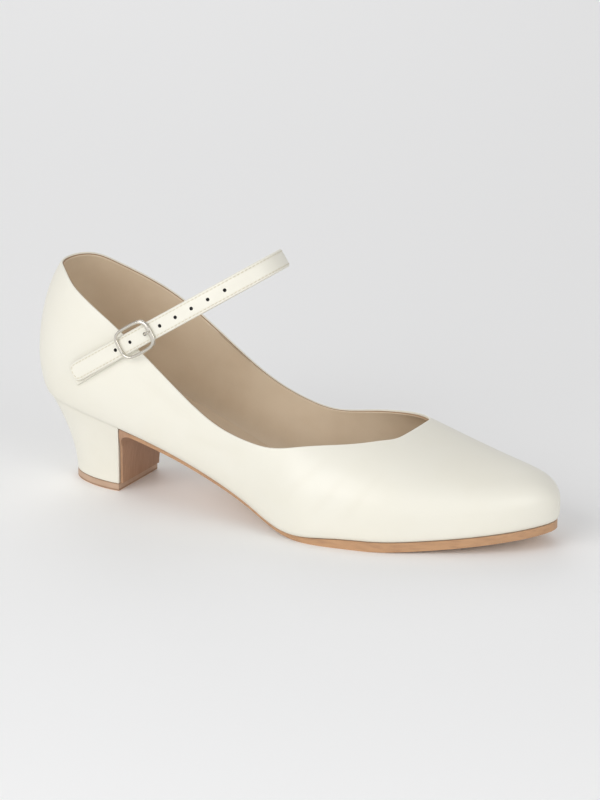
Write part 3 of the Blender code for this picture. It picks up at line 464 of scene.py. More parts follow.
def roundEdges(piece, width, angle=35, segments=3):
    bevel = piece.modifiers.new("rounded edges", "BEVEL")
    bevel.width = width
    bevel.segments = segments
    bevel.limit_method = "ANGLE"
    bevel.angle_limit = math.radians(angle)
    bevel.harden_normals = True


# shader maths written as Python
class Wire:
    def __init__(self, tree, socket=None):
        self.tree, self.socket = tree, socket

    def node(self, kind, settings=None, values=None, out=0):
        made = self.tree.nodes.new(kind)
        for key, value in (settings or {}).items():
            if key == "stops":
                ramp = made.color_ramp.elements
                while len(ramp) < len(value):
                    ramp.new(1.0)
                for element, (position, color) in zip(ramp, value):
                    element.position, element.color = position, (*color, 1.0)
            else:
                setattr(made, key, value)
        for key, value in (values or {}).items():
            if isinstance(value, Wire):
                self.tree.links.new(value.socket, made.inputs[key])
            else:
                made.inputs[key].default_value = value
        return Wire(self.tree, made.outputs[out])

    def math(self, operation, *values):
        return self.node("ShaderNodeMath", {"operation": operation}, dict(enumerate(values)))

    def __add__(self, other):
        return self.math("ADD", self, other)

    def __sub__(self, other):
        return self.math("SUBTRACT", self, other)

    def __rsub__(self, other):
        return self.math("SUBTRACT", other, self)

    def __mul__(self, other):
        return self.math("MULTIPLY", self, other)

    def __truediv__(self, other):
        return self.math("DIVIDE", self, other)

    __radd__, __rmul__ = __add__, __mul__

    def clamp(self):
        return self.node("ShaderNodeClamp", None, {"Value": self})

    def axis(self, which):
        return self.node("ShaderNodeSeparateXYZ", None, {0: self}, which)

    def wear(self):
        return self.node("ShaderNodeAttribute", {"attribute_name": "wear"}, out="Fac")

    # 0 below low, 1 above high, with a soft step between
    def between(self, low, high):
        values = {"Value": self, "From Min": low, "From Max": high}
        return self.node("ShaderNodeMapRange", {"interpolation_type": "SMOOTHSTEP"}, values)

    def noise(self, place, size, detail=2.0, roughness=0.5, stretch=None):
        if stretch:
            place = self.node("ShaderNodeVectorMath", {"operation": "MULTIPLY"}, {0: place, 1: stretch})
        values = {"Vector": place, "Scale": 1 / size, "Detail": detail, "Roughness": roughness}
        return self.node("ShaderNodeTexNoise", None, values)

    def cells(self, place, size, feature="F1"):
        return self.node("ShaderNodeTexVoronoi", {"feature": feature}, {"Vector": place, "Scale": 1 / size})

    def mixColor(self, low, high):
        low, high = (color if isinstance(color, Wire) else (*color, 1.0) for color in (low, high))
        return self.node("ShaderNodeMix", {"data_type": "RGBA"}, {"Factor": self, 6: low, 7: high}, 2)

    def bump(self, distance, strength):
        values = {"Height": self, "Distance": distance, "Strength": strength}
        return self.node("ShaderNodeBump", None, values)


def startMaterial(name):
    material = bpy.data.materials.new(name)
    material.use_nodes = True
    paint = Wire(material.node_tree)
    return material, paint, paint.node("ShaderNodeTexCoord", out="Object")


def finishMaterial(material, **sockets):
    tree = material.node_tree
    for name, value in sockets.items():
        target = tree.nodes["Principled BSDF"].inputs[name.replace("_", " ")]
        if isinstance(value, Wire):
            tree.links.new(value.socket, target)
        else:
            target.default_value = value
    return material


ivoryLook = {
    "color": (0.830, 0.806, 0.712),
    "warm": (0.800, 0.768, 0.655),
    # the colour that painted shade darkens the leather towards
    "shadeColor": (0.620, 0.565, 0.430),
    "grain": 0.00055,
    "grainDepth": 0.00003,
    "roughness": 0.36,
    "coat": 0.12,
    # the back seam: its place to the inner side, how far forward it reaches, and its foot
    "seamSide": 0.0018,
    "seamReach": -0.020,
    "seamFoot": 0.0397,
}


def leather(name, look):
    material, paint, place = startMaterial(name)
    grain = paint.cells(place, look["grain"], "SMOOTH_F1")
    pores = 1 - paint.cells(place, look["grain"] * 1.7).between(0.05, 0.22)
    fine = paint.noise(place, look["grain"] * 0.5, 3)
    patches = paint.noise(place, 0.022, 3).between(0.35, 0.70)
    wear = paint.wear()
    color = (patches * 0.30 + fine * 0.10).mixColor(look["color"], look["warm"])
    # painted shade: the colour darkens towards the shade colour where the per-point shade attribute is high
    color = (wear * 0.75).clamp().mixColor(color, look["shadeColor"])
    height = grain * 0.7 + fine * 0.35 - pores * 0.5
    # the back seam, a fine groove up the middle of the counter, with painted shade drawn along it
    across = place.axis(1) + look["seamSide"]
    seam = 1 - across.math("ABSOLUTE", across).between(0.00005, 0.00035)
    behind = 1 - place.axis(0).between(look["seamReach"], look["seamReach"] + 0.002)
    seam = seam * behind * place.axis(2).between(look["seamFoot"], look["seamFoot"] + 0.0005)
    color = (seam * 0.35).mixColor(color, look["shadeColor"])
    height = height - seam * 6
    return finishMaterial(
        material,
        Base_Color=color,
        Roughness=look["roughness"] + patches * 0.06 + grain * 0.08 - wear * 0.05,
        Coat_Weight=look["coat"],
        Coat_Roughness=0.25,
        Normal=height.bump(look["grainDepth"], 0.5),
    )


ivoryLeather = leather("ivory leather", ivoryLook)
print("materials started")

upperSizes = {
    "stations": 120,
    "lowerRows": 12,
    "upperRows": 46,
    "leather": 0.0010,
    "liningStep": 0.0004,
}
last = Last()

# soft troughs and ridges: three places from the back of the counter, width and depth, in metres
creaseMarks = (
    (((0.139, -0.0350, 0.018), (0.146, -0.0330, 0.026), (0.154, -0.0285, 0.033)), 0.0045, 0.00015),
    (((0.150, -0.0385, 0.014), (0.157, -0.0350, 0.021), (0.164, -0.0290, 0.028)), 0.0040, 0.00013),
    (((0.162, -0.0370, 0.012), (0.169, -0.0320, 0.019), (0.176, -0.0230, 0.027)), 0.0042, 0.00011),
    (((0.146, 0.0330, 0.020), (0.153, 0.0320, 0.027), (0.161, 0.0280, 0.034)), 0.0045, 0.00015),
    (((0.158, 0.0375, 0.015), (0.166, 0.0350, 0.022), (0.173, 0.0290, 0.029)), 0.0042, 0.00013),
    (((0.060, -0.0290, 0.060), (0.072, -0.0290, 0.051), (0.088, -0.0290, 0.043)), 0.0065, 0.00030),
    (((0.052, 0.0280, 0.066), (0.066, 0.0270, 0.057), (0.084, 0.0250, 0.048)), 0.0065, 0.00028),
    (((0.084, -0.0300, 0.036), (0.098, -0.0320, 0.034), (0.112, -0.0340, 0.033)), 0.0050, 0.00014),
)


# height of the creases over the surface, and the painted shade in their troughs
def creaseRelief(grid, marks):
    flat = grid.reshape(-1, 3)
    lift, creaseShade = np.zeros(len(flat)), np.zeros(len(flat))
    for path, width, depth in marks:
        spine = resample(np.array(path), 40)
        line = flat[[int(np.argmin(np.linalg.norm(flat - point, axis=1))) for point in spine]]
        away = np.linalg.norm(flat[:, None] - line[None], axis=2)
        near = away.argmin(axis=1)
        share = near / (len(line) - 1)
        ends = np.sin(np.pi * np.clip(share * 0.92 + 0.04, 0, 1)) ** 0.7
        q = away.min(axis=1) / width
        lift -= depth * ends * (1 - q * q) * hill(q, 1)
        creaseShade += 0.10 * ends * hill(q, 0.45)
    return lift.reshape(grid.shape[:2]), creaseShade.reshape(grid.shape[:2])


def setShadeAndSoleEdge(piece, values):
    data = piece.data.attributes.new("wear", "FLOAT", "POINT")
    data.data.foreach_set("value", np.asarray(values, dtype=np.float32))


# values of the painted shade, and of the sole's edge mask, follow a piece's points through the weld by
# nearest place
def setShadeAndSoleEdgeFrom(piece, points, values):
    places, values = np.reshape(points, (-1, 3)) - rowOrigin, np.ravel(values)
    tree = KDTree(len(places))
    for i, place in enumerate(places):
        tree.insert(place, i)
    tree.balance()
    setShadeAndSoleEdge(piece, [values[tree.find(v.co)[1]] for v in piece.data.vertices])


def makeUpper():
    count, low, high = upperSizes["stations"], upperSizes["lowerRows"], upperSizes["upperRows"]
    wall, leatherWall = shoe["wall"], upperSizes["leather"]
    outer = soften(last.walls(count, low, high), 2)
    plain = gridNormals(outer)
    relief, creaseShade = creaseRelief(outer, creaseMarks)
    dressed = outer + plain * relief[..., None]
    normal = gridNormals(dressed)
    up = unit(dressed[:, -1] - dressed[:, -2])
    r, n, top = leatherWall / 2, normal[:, -1], dressed[:, -1]
    rim = [top - n * r + (math.cos(t) * n + (math.sin(t) - 1) * up) * r for t in np.linspace(0, math.pi, 9)]
    inside = [dressed[:, -1 - k] - normal[:, -1 - k] * leatherWall for k in (1, 2, 3)]
    grid = np.concatenate([dressed[:, :-1], np.stack(rim + inside, axis=1)], axis=1)
    faces = gridFaces(*grid.shape[:2])
    piece = makePiece("upperLeather", grid, faces, [ivoryLeather], ["upper"])
    # painted shade: darker along the line above the sole, more towards the front, in the crease troughs, and
    # over the inner half of the topline fold and the leather's inner face
    height = grid[..., 2] - seatLine(grid[..., 0])
    overSole = smoothStep((grid[..., 0] - 0.045) / 0.02)
    paintedShade = (0.08 + 0.40 * overSole) * (1 - smoothStep((height - 0.0002) / 0.0014))
    paintedShade[:, : dressed.shape[1] - 1] += creaseShade[:, :-1]
    paintedShade[:, dressed.shape[1] + 2 :] += 0.5
    setShadeAndSoleEdgeFrom(piece, grid, paintedShade)

    lowerInner = last.walls(count, low, high, wall)[:, : low - 2]
    inner = soften(np.concatenate([lowerInner, (outer - plain * wall)[:, low + 4 :]], axis=1), 2)
    step = upperSizes["liningStep"]
    edgeRows = [
        inner[:, -1] - up * (step + 0.00025),
        inner[:, -1] - up * step + plain[:, -1] * 0.00018,
        top - n * (leatherWall - 0.00005) - up * (step - 0.0001),
        top - n * (leatherWall - 0.00005) - up * 0.0012,
    ]
    grid = np.concatenate([inner[:, :-1], np.stack(edgeRows, axis=1)], axis=1)
    faces = gridFaces(*grid.shape[:2], flip=True)
    up = grid.shape[1] - 1
    kinds = [int(i % up >= up - 2) for i in range(len(faces))]
    makePiece("upperLining", grid, faces, [liningLeather, rawEdge], faceMaterials=kinds)


# lines inside the upper's bottom edge, for the pieces underneath and on top of it
def bottomLine(side, inset, start, end=None):
    edge = last.edge[side]
    inset = inset(edge[:, 0]) if callable(inset) else inset
    plan = edge - (last.tuck[side](edge[:, 0]) + inset)[:, None] * last.out[side]
    first = np.argmax(plan[:, 0] >= start) if start > 0 else 0
    final = len(plan) if end is None else np.argmax(plan[:, 0] >= end) + 1
    piece = plan[first:final]
    if start > 0:
        piece[0] = start, np.interp(start, plan[: first + 2, 0], plan[: first + 2, 1])
    if end is not None:
        piece[-1] = end, np.interp(end, plan[final - 2 : final, 0], plan[final - 2 : final, 1])
    return piece


def evenTurning(line, count):
    step = np.diff(line, axis=0)
    angle = np.unwrap(np.arctan2(step[:, 1], step[:, 0]))
    turn = np.abs(np.append(np.diff(angle), 0.0))
    measure = np.append(0.0, np.cumsum(np.linalg.norm(step, axis=1) + 0.010 * turn))
    q = np.linspace(0, measure[-1], count)
    return readAt(q, measure, line)


def planPairs(inset, start, end, count):
    pair = [evenTurning(bottomLine(side, inset, start, end), count) for side in (-1, 1)]
    if start <= 0:
        pair[0][0] = pair[1][0] = (pair[0][0] + pair[1][0]) / 2
    if end is None:
        pair[0][-1] = pair[1][-1] = (pair[0][-1] + pair[1][-1]) / 2
    return pair


def acrossPairs(pair, columns):
    share = np.linspace(0, 1, columns)[None, :, None]
    return pair[0][:, None] * (1 - share) + pair[1][:, None] * share


def standOn(plan, *heights):
    return np.stack([np.concatenate([plan, z[..., None]], axis=-1) for z in heights], axis=2)


def makeSock():
    gap = shoe["gap"]
    plan = acrossPairs(planPairs(4 * gap, 0.0, None, 90), 21)
    low = seatLine(plan[..., 0]) + shoe["wall"] + 2 * gap
    points, faces = blockFaces(standOn(plan, low, low + shoe["insoleThickness"]))
    makePiece("insoleBoard", points, faces, [liningLeather], ["insole"], sharp=40)
    plan = acrossPairs(planPairs(5 * gap, 0.0, None, 110), 31)
    low = seatLine(plan[..., 0]) + shoe["wall"] + 2 * gap + shoe["insoleThickness"] + 0.00005
    x, across = plan[..., 0], np.linspace(-1, 1, 31)[None, :]
    pad = smoothStep((0.070 - x) / 0.012) * smoothStep((1 - np.abs(across)) / 0.35) * smoothStep(x / 0.008)
    points, faces = blockFaces(standOn(plan, low, low + 0.0007 + 0.0012 * pad))
    sock = makePiece("sockLining", points, faces, [sockLeather], sharp=60)
    roundEdges(sock, 0.0003, 50)


# heel, sole and top piece
heel = {
    "liftThickness": 0.0034,
    "liftLength": 0.0286,
    "liftWidth": 0.0350,
    "setback": 0.0151,
    "lean": 0.0018,
    "breastFlare": 0.0045,
    "breastFillet": 0.006,
    "flapThickness": 0.0012,
    "flapInset": 0.0011,
    "flareBend": 1.6,
    "squareness": 1.85,
    "overlap": 0.0003,
    # points along its outline, across it and up it
    "outline": 44,
    "columns": 21,
    "layers": 30,
    # where the nails of the top piece are, and the radius and height of their rim and crown
    "nails": ((0.0215, 0.000), (0.0365, -0.0080), (0.0355, 0.0105)),
    "nailRings": ((0.0007, 0.0002), (0.0006, -0.00004)),
}
rowOrigin = np.array([heel["setback"] + heel["liftLength"] / 2, heel["lean"], 0.0])


def breastTop():
    return heel["setback"] + heel["liftLength"] + heel["breastFlare"]


def heelOutline():
    count = heel["outline"]
    top = planPairs(0.0, 0.0, breastTop(), count)
    angle = np.linspace(0, math.pi / 2, count)
    foot = []
    for side in (-1, 1):
        x = heel["setback"] + heel["liftLength"] * (1 - np.cos(angle) ** (2 / heel["squareness"]))
        y = heel["lean"] + side * heel["liftWidth"] / 2 * np.sin(angle) ** (2 / heel["squareness"])
        foot.append(np.column_stack([x, y]))
    return top, foot


def makeHeel():
    top, foot = heelOutline()
    # the cover runs a little way up inside the upper's rounded lower edge, so the seam is closed
    seat = seatLine(acrossPairs(top, heel["columns"])[..., 0]) + heel["overlap"]
    low = heel["liftThickness"] + shoe["gap"] * 0.5
    layers = []
    for level in np.linspace(0, 1, heel["layers"]):
        flare = level ** heel["flareBend"]
        pair = [foot[k] * (1 - flare) + top[k] * flare for k in (0, 1)]
        plan = acrossPairs(pair, heel["columns"])
        layers.append(np.concatenate([plan, (low + (seat - low) * level)[..., None]], axis=-1))
    points, faces = blockFaces(np.stack(layers, axis=2))
    cover = makePiece("heelCover", points, faces, [ivoryLeather], ["heel"], sharp=60)
    roundEdges(cover, 0.00012, 45, 2)
    # painted shade: darker just under the upper's seat line and just over the top piece
    x, z = np.array([(v.co.x + rowOrigin[0], v.co.z) for v in cover.data.vertices]).T
    underSeat, overLift = (seatLine(x) - z) / 0.0008, (z - heel["liftThickness"]) / 0.0010
    setShadeAndSoleEdge(cover, 0.14 * (1 - smoothStep(underSeat)) + 0.30 * (1 - smoothStep(overLift)))


def makeTopLift():
    plan = acrossPairs(heelOutline()[1], heel["columns"])
    floor = np.zeros(plan.shape[:2])
    points, faces = blockFaces(standOn(plan, floor, floor + heel["liftThickness"]))
    lift = makePiece("topLift", points, faces, [topPiece], ["top_lift"], sharp=50)
    roundEdges(lift, 0.00035, 50)
    rings = [(r * c, r * s, z) for r, z in heel["nailRings"] for c, s in circle(16)]
    shape = tubeFaces(2, 16) + [range(16, 32)]
    points, faces = joined([([(x + a, y + b, z) for a, b, z in rings], shape) for x, y in heel["nails"]])
    makePiece("liftNails", points, faces, [nailSteel], sharp=40, weld=0.000001)


def joined(parts):
    points, faces, start = [], [], 0
    for some, shapes in parts:
        points += [tuple(p) for p in some]
        faces += [tuple(start + int(v) for v in face) for face in shapes]
        start += len(some)
    return points, faces


# how far the heel has flared at height z, from 0 at the top piece to 1 under the seat
def flareAt(z):
    low, high = heel["liftThickness"] + shoe["gap"], float(seatLine(breastTop())) - shoe["gap"]
    return np.clip((z - low) / (high - low), 0, 1) ** heel["flareBend"]


def breastX(z):
    return heel["setback"] + heel["liftLength"] + heel["breastFlare"] * flareAt(z)


def makeOutsole():
    columns, gap = 25, shoe["gap"]
    top, foot = heelOutline()
    seat = float(seatLine(breastTop())) - gap
    start = breastTop() + heel["breastFillet"]

    def breastHalf(z, k):
        return abs(foot[k][-1, 1]) * (1 - flareAt(z)) + abs(top[k][-1, 1]) * flareAt(z)

    def overhang(x):
        return -shoe["soleOverhang"] * np.clip((edgeThickness(x) / shoe["soleThickness"] - 0.4) / 0.5, 0, 1)

    plan = acrossPairs(planPairs(overhang, start, None, 130), columns)
    share = np.linspace(-1, 1, columns)[None, :]
    x = plan[..., 0]
    waist = np.clip((shoe["crownEnd"] - x / shoe["length"]) / 0.10, 0, 1)
    crown = np.minimum(shoe["waistCrown"] * waist * (1 - share**2), underside(x))
    sole = standOn(plan, underside(x) - crown, seatLine(x) - gap * 0.5)
    under = float(underside(start))
    flapTop = under - heel["breastFillet"]
    corner = np.array([breastTop() + gap, seat])
    profile = []
    for u in np.linspace(0, 1, 16)[1:-1]:
        front = float(breastX(flapTop)) + gap + heel["flapThickness"]
        low = (start * (1 - u) ** 2 + front * (1 - (1 - u) ** 2), under * (1 - u**2) + flapTop * u**2)
        if u < 0.5:
            xHigh = start + (corner[0] - start) * u / 0.5
            high = (xHigh, float(seatLine(xHigh)) - gap)
        else:
            zHigh = seat + (flapTop - seat) * (u - 0.5) / 0.5
            high = (float(breastX(zHigh)) + gap, zHigh)
        profile.append((1 - u, low, high))
    for z in np.linspace(flapTop, heel["liftThickness"] + gap * 0.5, 16):
        back = float(breastX(z)) + gap
        profile.append((0.0, (back + heel["flapThickness"], z), (back, z)))
    rows = []
    for soleShare, low, high in profile:
        row = []
        for (px, pz), drop in ((low, shoe["waistCrown"]), (high, 0.0)):
            y = np.zeros(columns)
            for k, side in enumerate((-1, 1)):
                breast = breastHalf(min(pz, seat), k) - heel["flapInset"]
                width = abs(plan[0, -k, 1]) * soleShare + breast * (1 - soleShare)
                y += side * width * (1 + side * share[0]) / 2
            z = pz - drop * soleShare * (1 - share[0] ** 2)
            row.append(np.column_stack([np.full(columns, px), y, z]))
        rows.append(np.stack(row, axis=1))
    block = np.concatenate([np.array(rows[::-1]), sole])
    points, faces = blockFaces(block)
    outsole = makePiece("outsoleLeather", points, faces, [soleLeather], ["outsole"], sharp=50)
    roundEdges(outsole, 0.00035, 50)
    # edge dressing: 1 on the upright edge, 0 on the underside
    edge = np.zeros(block.shape[:3])
    edge[:, (0, -1)] = edge[-1] = 1.0
    setShadeAndSoleEdgeFrom(outsole, block, edge)


strapSizes = {
    "width": 0.0084,
    "thickness": 0.0017,
    "slope": 33.0,
    "reach": 0.0715,
    "tail": 0.0290,
    "root": 0.007,
    "place": 0.220,
    "rise": 0.700,
    "holePitch": 0.0083,
    "holeDiameter": 0.0016,
    "holesForward": 5,
    "holesBack": 2,
    "shortLength": 0.0305,
    "shortThickness": 0.0008,
    "shortDrop": 0.0012,
    "seamInset": 0.0011,
    "endRound": 0.0008,
    "pillow": 0.00012,
    "channel": 0.00013,
    "shortEndRound": 0.0004,
    "shortPillow": 0.00008,
    "shortChannel": 0.00010,
}
buckle = {
    "length": 0.0184,
    "width": 0.0140,
    "wire": 0.0014,
    "place": 0.0084,
    "barDiameter": 0.0012,
    "barPlace": 0.0053,
    "prongDiameter": 0.0009,
}


# the strap's inclined plane: a runs up along it, w across it, y sideways
class StrapPlane:
    def __init__(self):
        slope = math.radians(strapSizes["slope"])
        x = strapSizes["place"] * shoe["length"]
        self.origin = np.array([x, 0.0, float(seatLine(x)) + strapSizes["rise"] * shoe["collarHeight"]])
        self.up = np.array([math.cos(slope), 0.0, math.sin(slope)])
        self.wide = np.array([-math.sin(slope), 0.0, math.cos(slope)])
        front = self.strapLine(0.0, 400)[:200]
        self.buckleAt = readAt(buckle["place"], front[:, 0], front)
        self.ahead = unit(readAt(buckle["place"] + 0.004, front[:, 0], front) - self.buckleAt)
        self.outward = np.array([self.ahead[1], -self.ahead[0]])

    def point(self, a, y, w):
        a, y, w = np.broadcast_arrays(a, y, w)
        place = self.origin + a[..., None] * self.up + w[..., None] * self.wide
        return place + y[..., None] * np.array([0.0, 1.0, 0.0])

    def quarter(self, a, w, side):
        place = self.point(a, 0.0, w)
        x = place[..., 0]
        share = last.shareAcross(place[..., 2] - seatLine(x), x, side)
        ridgeSide = last.ridgeSide(x)
        return ridgeSide + share * (last.halfWidth(x, side) - ridgeSide)

    # the strap's middle surface at one place across it: rows of (a, y) from its tail to its root
    def strapLine(self, w, count):
        gap, thick = shoe["gap"], strapSizes["thickness"]
        lift = {-1: 2 * gap + strapSizes["shortThickness"] + thick / 2, 1: gap + thick / 2}
        turn = np.radians(np.linspace(-90, 90, 241))
        loopA = strapSizes["reach"] * np.cos(turn) ** (2 / 2.2)
        start = {side: self.quarter(0.0, 0.0, side) + side * lift[side] for side in (-1, 1)}
        middle = (start[1] + start[-1]) / 2
        loopY = middle + np.sign(turn) * (start[1] - middle) * np.abs(np.sin(turn)) ** (2 / 2.2)
        tail = np.linspace(-strapSizes["tail"], 0, 60)[:-1]
        root = np.linspace(0, -strapSizes["root"], 30)[1:]
        a = np.concatenate([tail, loopA, root])
        y = np.concatenate([0 * tail + start[-1], loopY, 0 * root + start[1]])
        side = np.where(np.arange(len(a)) < len(a) // 2, -1, 1)
        blend = smoothStep((a + 0.004) / 0.012)
        for this in (-1, 1):
            draped = self.quarter(a, w, this) + this * lift[this]
            y = np.where(side == this, y * blend + draped * (1 - blend), y)
        return resample(np.column_stack([a, y]), count)

    # a point given along the strap, outwards and across it, from the middle of the buckle
    def fromBuckle(self, t, h, w):
        t, h = np.asarray(t, float), np.asarray(h, float)
        plan = self.buckleAt + t[..., None] * self.ahead + h[..., None] * self.outward
        return self.point(plan[..., 0], plan[..., 1], w)


# the surface of a strap from lines of (a, y), one for each column across
def strapSurface(plane, lines, columns, widths, shift=0.0):
    centre, outward, ahead = [], [], []
    sideways = np.array([0.0, 1.0, 0.0])
    for line, column in zip(lines, columns):
        along, aside = np.split(unit(np.gradient(line, axis=0)), 2, axis=1)
        centre.append(plane.point(line[:, 0], line[:, 1], column * widths + shift))
        outward.append(aside * plane.up - along * sideways)
        ahead.append(along * plane.up + aside * sideways)
    return (np.stack(rows, axis=1) for rows in (centre, outward, ahead))


def strapColumns():
    fromEdge = np.array([0, 0.06, 0.2, 0.4, 0.6, 0.8, 1.0, 1.2, 1.4, 1.7, 2.1, 2.6]) / 1000
    half = np.concatenate([np.linspace(0, 0.0012, 7), strapSizes["width"] / 2 - fromEdge[::-1]])
    return np.concatenate([-half[:0:-1], half]) / strapSizes["width"]


def strapProfile(columns, thickness, pillow, channel):
    away = np.abs(columns) * 2
    edge = (1 - np.clip(away, 0, 1) ** 9) ** 0.42
    fromEdge = (0.5 - np.abs(columns)) * strapSizes["width"]
    groove = hill(fromEdge - strapSizes["seamInset"], 0.00030)
    lip = hill(fromEdge - strapSizes["seamInset"] / 2, 0.00035)
    return edge * (thickness / 2 + pillow * (1 - away**2)) - channel * groove + channel * 0.5 * lip * edge


# height of a strap's outer and inner face over its middle surface, rounded off at both ends
def strapFaces(columns, travel, endRound, *profile):
    closing = roundOff(np.minimum(travel, travel[-1] - travel), endRound)[:, None]
    front, back = strapProfile(columns, *profile), strapProfile(columns, profile[0], 0.0, 0.0)
    return front[None] * closing, back[None] * closing


def makeStrap(plane):
    columns = strapColumns()
    total = chords(plane.strapLine(0.0, 900))[-1]
    prong = strapSizes["tail"] + buckle["place"] + buckle["barPlace"]
    steps = np.arange(-strapSizes["holesBack"], strapSizes["holesForward"] + 1)
    holes = prong + strapSizes["holePitch"] * steps
    travel = [*np.linspace(0, 0.006, 14), *np.linspace(total - 0.007, total, 14)]
    travel += list(np.arange(0.0065, total - 0.007, 0.0009))
    for hole in holes:
        travel = [t for t in travel if abs(t - hole) > 0.0013]
        travel += list(hole + np.linspace(-0.0012, 0.0012, 13))
    travel = np.sort(np.array(travel))
    lines = []
    for column in columns:
        dense = plane.strapLine(column * strapSizes["width"], 900)
        lines.append(readAt(travel / total * chords(dense)[-1], chords(dense), dense))
    tail, root = 0.45 + 0.55 * roundOff(travel, 0.004), 0.25 + 0.75 * roundOff(total - travel, 0.005)
    widths = strapSizes["width"] * np.minimum(tail, root)
    centre, outward, ahead = strapSurface(plane, lines, columns, widths)
    profile = (strapSizes[k] for k in ("endRound", "thickness", "pillow", "channel"))
    front, back = strapFaces(columns, travel, *profile)
    w = columns[None] * widths[:, None]
    slide, acrossShift, sunk = np.zeros_like(w), np.zeros_like(w), np.zeros(w.shape, bool)
    radius = strapSizes["holeDiameter"] / 2
    for hole in holes:
        along = travel[:, None] - hole
        away = np.hypot(along, w)
        onRing = np.abs(away - radius) < 0.00013
        factor = np.where(onRing, radius / np.maximum(away, 1e-9) - 1, 0)
        slide += along * factor
        acrossShift += w * factor
        inside = (away < radius) & ~onRing
        sunk |= inside
        dent = np.where(inside | onRing, 0, hill(away - radius, 0.0004) * (away < 0.003))
        front = front - 0.00009 * dent - np.where(inside, 0.0012, 0) - np.where(onRing, 0.00007, 0)
    outer = centre + outward * front[..., None]
    outer += ahead * slide[..., None] + plane.wide * acrossShift[..., None]
    ring = np.concatenate([outer, (centre - outward * back[..., None])[:, ::-1]], axis=1)
    faces = tubeFaces(*ring.shape[:2])
    deep = np.concatenate([sunk, np.zeros_like(sunk)], axis=1).ravel()
    piece = makePiece(
        "strapLeather", ring, faces, [ivoryLeather, holeShade], ["strap"],
        faceMaterials=deep[np.array(faces)].any(axis=1), sharp=60,
    )
    # painted shade: darker along the stitch channels, and on the back face
    paintedShade = 0.35 * hill(widths[:, None] / 2 - np.abs(w) - strapSizes["seamInset"], 0.0003)
    setShadeAndSoleEdgeFrom(piece, ring, np.concatenate([paintedShade, 0.15 + 0 * paintedShade], axis=1))
    # one seam runs round the strap, with a bow at the tail and a point at the root, and one crosses the root
    side = strapSizes["width"] / 2 - strapSizes["seamInset"]
    bow = np.radians(np.linspace(0, 90, 12))
    path = [(t, side) for t in np.arange(total - 0.0055, 0.0037, -0.0005)]
    path += [(0.0013 + 0.0024 * (1 - math.sin(v)), side * math.cos(v)) for v in bow]
    path += [(t, -w) for t, w in path[-2::-1]]
    path = [(total - 0.0016, 0.0)] + path + [(total - 0.0016, 0.0)]
    cross = [(total - 0.0078, w) for w in np.linspace(-side, side, 12)]
    return [alongSurface(some, travel, columns, widths, outer, outward) for some in (path, cross)]


# points and normals of a strap's outer face along a path of (travel, place across)
def alongSurface(path, travel, columns, widths, outer, outward):
    path = resample(np.array(path), 6 * len(path))
    spots, normals = [], []
    for t, w in path:
        i = int(np.clip(np.searchsorted(travel, t) - 1, 0, len(travel) - 2))
        share = np.clip((t - travel[i]) / (travel[i + 1] - travel[i]), 0, 1)
        for grid, found in ((outer, spots), (outward, normals)):
            before, after = (readAt(w / widths[row], columns, grid[row]) for row in (i, i + 1))
            found.append(before * (1 - share) + after * share)
    return np.array(spots), np.array(normals)


# how far the short strap lies below the strap, more towards its cut end
def shortDrop(a):
    return strapSizes["shortDrop"] * np.clip(-a / strapSizes["shortLength"], 0, 1)


def makeShortStrap(plane):
    half = [0.1, 0.2, 0.28, 0.34, 0.37, 0.40, 0.44, 0.47, 0.492, 0.5]
    columns = np.array([-share for share in half[::-1]] + [0.0] + half)
    wrap = buckle["barDiameter"] / 2 + shoe["gap"] + strapSizes["shortThickness"] / 2
    # its fold round the bar: places along and out from the bar's middle
    fold = [(-0.0028, -wrap), (-0.001, -wrap)]
    fold += [(wrap * math.cos(v), wrap * math.sin(v)) for v in np.radians([-70, -35, 0, 35, 70, 90])]
    fold = np.array(fold + [(-0.0015, wrap), (-0.0035, wrap)]) + (buckle["barPlace"], -barDepth())
    local = plane.buckleAt + np.outer(fold[:, 0], plane.ahead) + np.outer(fold[:, 1], plane.outward)
    thick, lines = strapSizes["shortThickness"], []
    for column in columns:
        a = np.linspace(-strapSizes["shortLength"], 0.0065, 24)
        y = plane.quarter(a, column * strapSizes["width"] - shortDrop(a), -1) - shoe["gap"] - thick / 2
        path = np.concatenate([np.column_stack([a, y]), local])
        lines.append(resample(smoothPath(path, 500), 120))
    travel = chords(lines[len(columns) // 2])
    widths = np.full(len(travel), strapSizes["width"])
    drop = shortDrop(lines[len(columns) // 2][:, 0])
    centre, outward, _ = strapSurface(plane, lines, columns, widths, -drop)
    profile = (strapSizes[k] for k in ("shortEndRound", "shortThickness", "shortPillow", "shortChannel"))
    front, back = strapFaces(columns, travel, *profile)
    outer = centre + outward * front[..., None]
    ring = np.concatenate([outer, (centre - outward * back[..., None])[:, ::-1]], axis=1)
    faces = tubeFaces(*ring.shape[:2])
    piece = makePiece("shortStrap", ring, faces, [ivoryLeather], ["buckle_strap"], sharp=60)
    # the short strap is drawn a little darker all over, by a fixed amount
    setShadeAndSoleEdgeFrom(piece, ring, np.full(ring.shape[:2], 0.08))
    side = strapSizes["width"] / 2 - strapSizes["seamInset"]
    path = [(0.0330, side), (0.0030, side), (0.0014, side - 0.0009), (0.0011, 0.0)]
    path += [(t, -w) for t, w in path[-2::-1]]
    return [alongSurface(path, travel, columns, widths, outer, outward)]


stitch = {"pitch": 0.0019, "length": 0.0015, "radius": 0.00021, "lift": 0.00002}


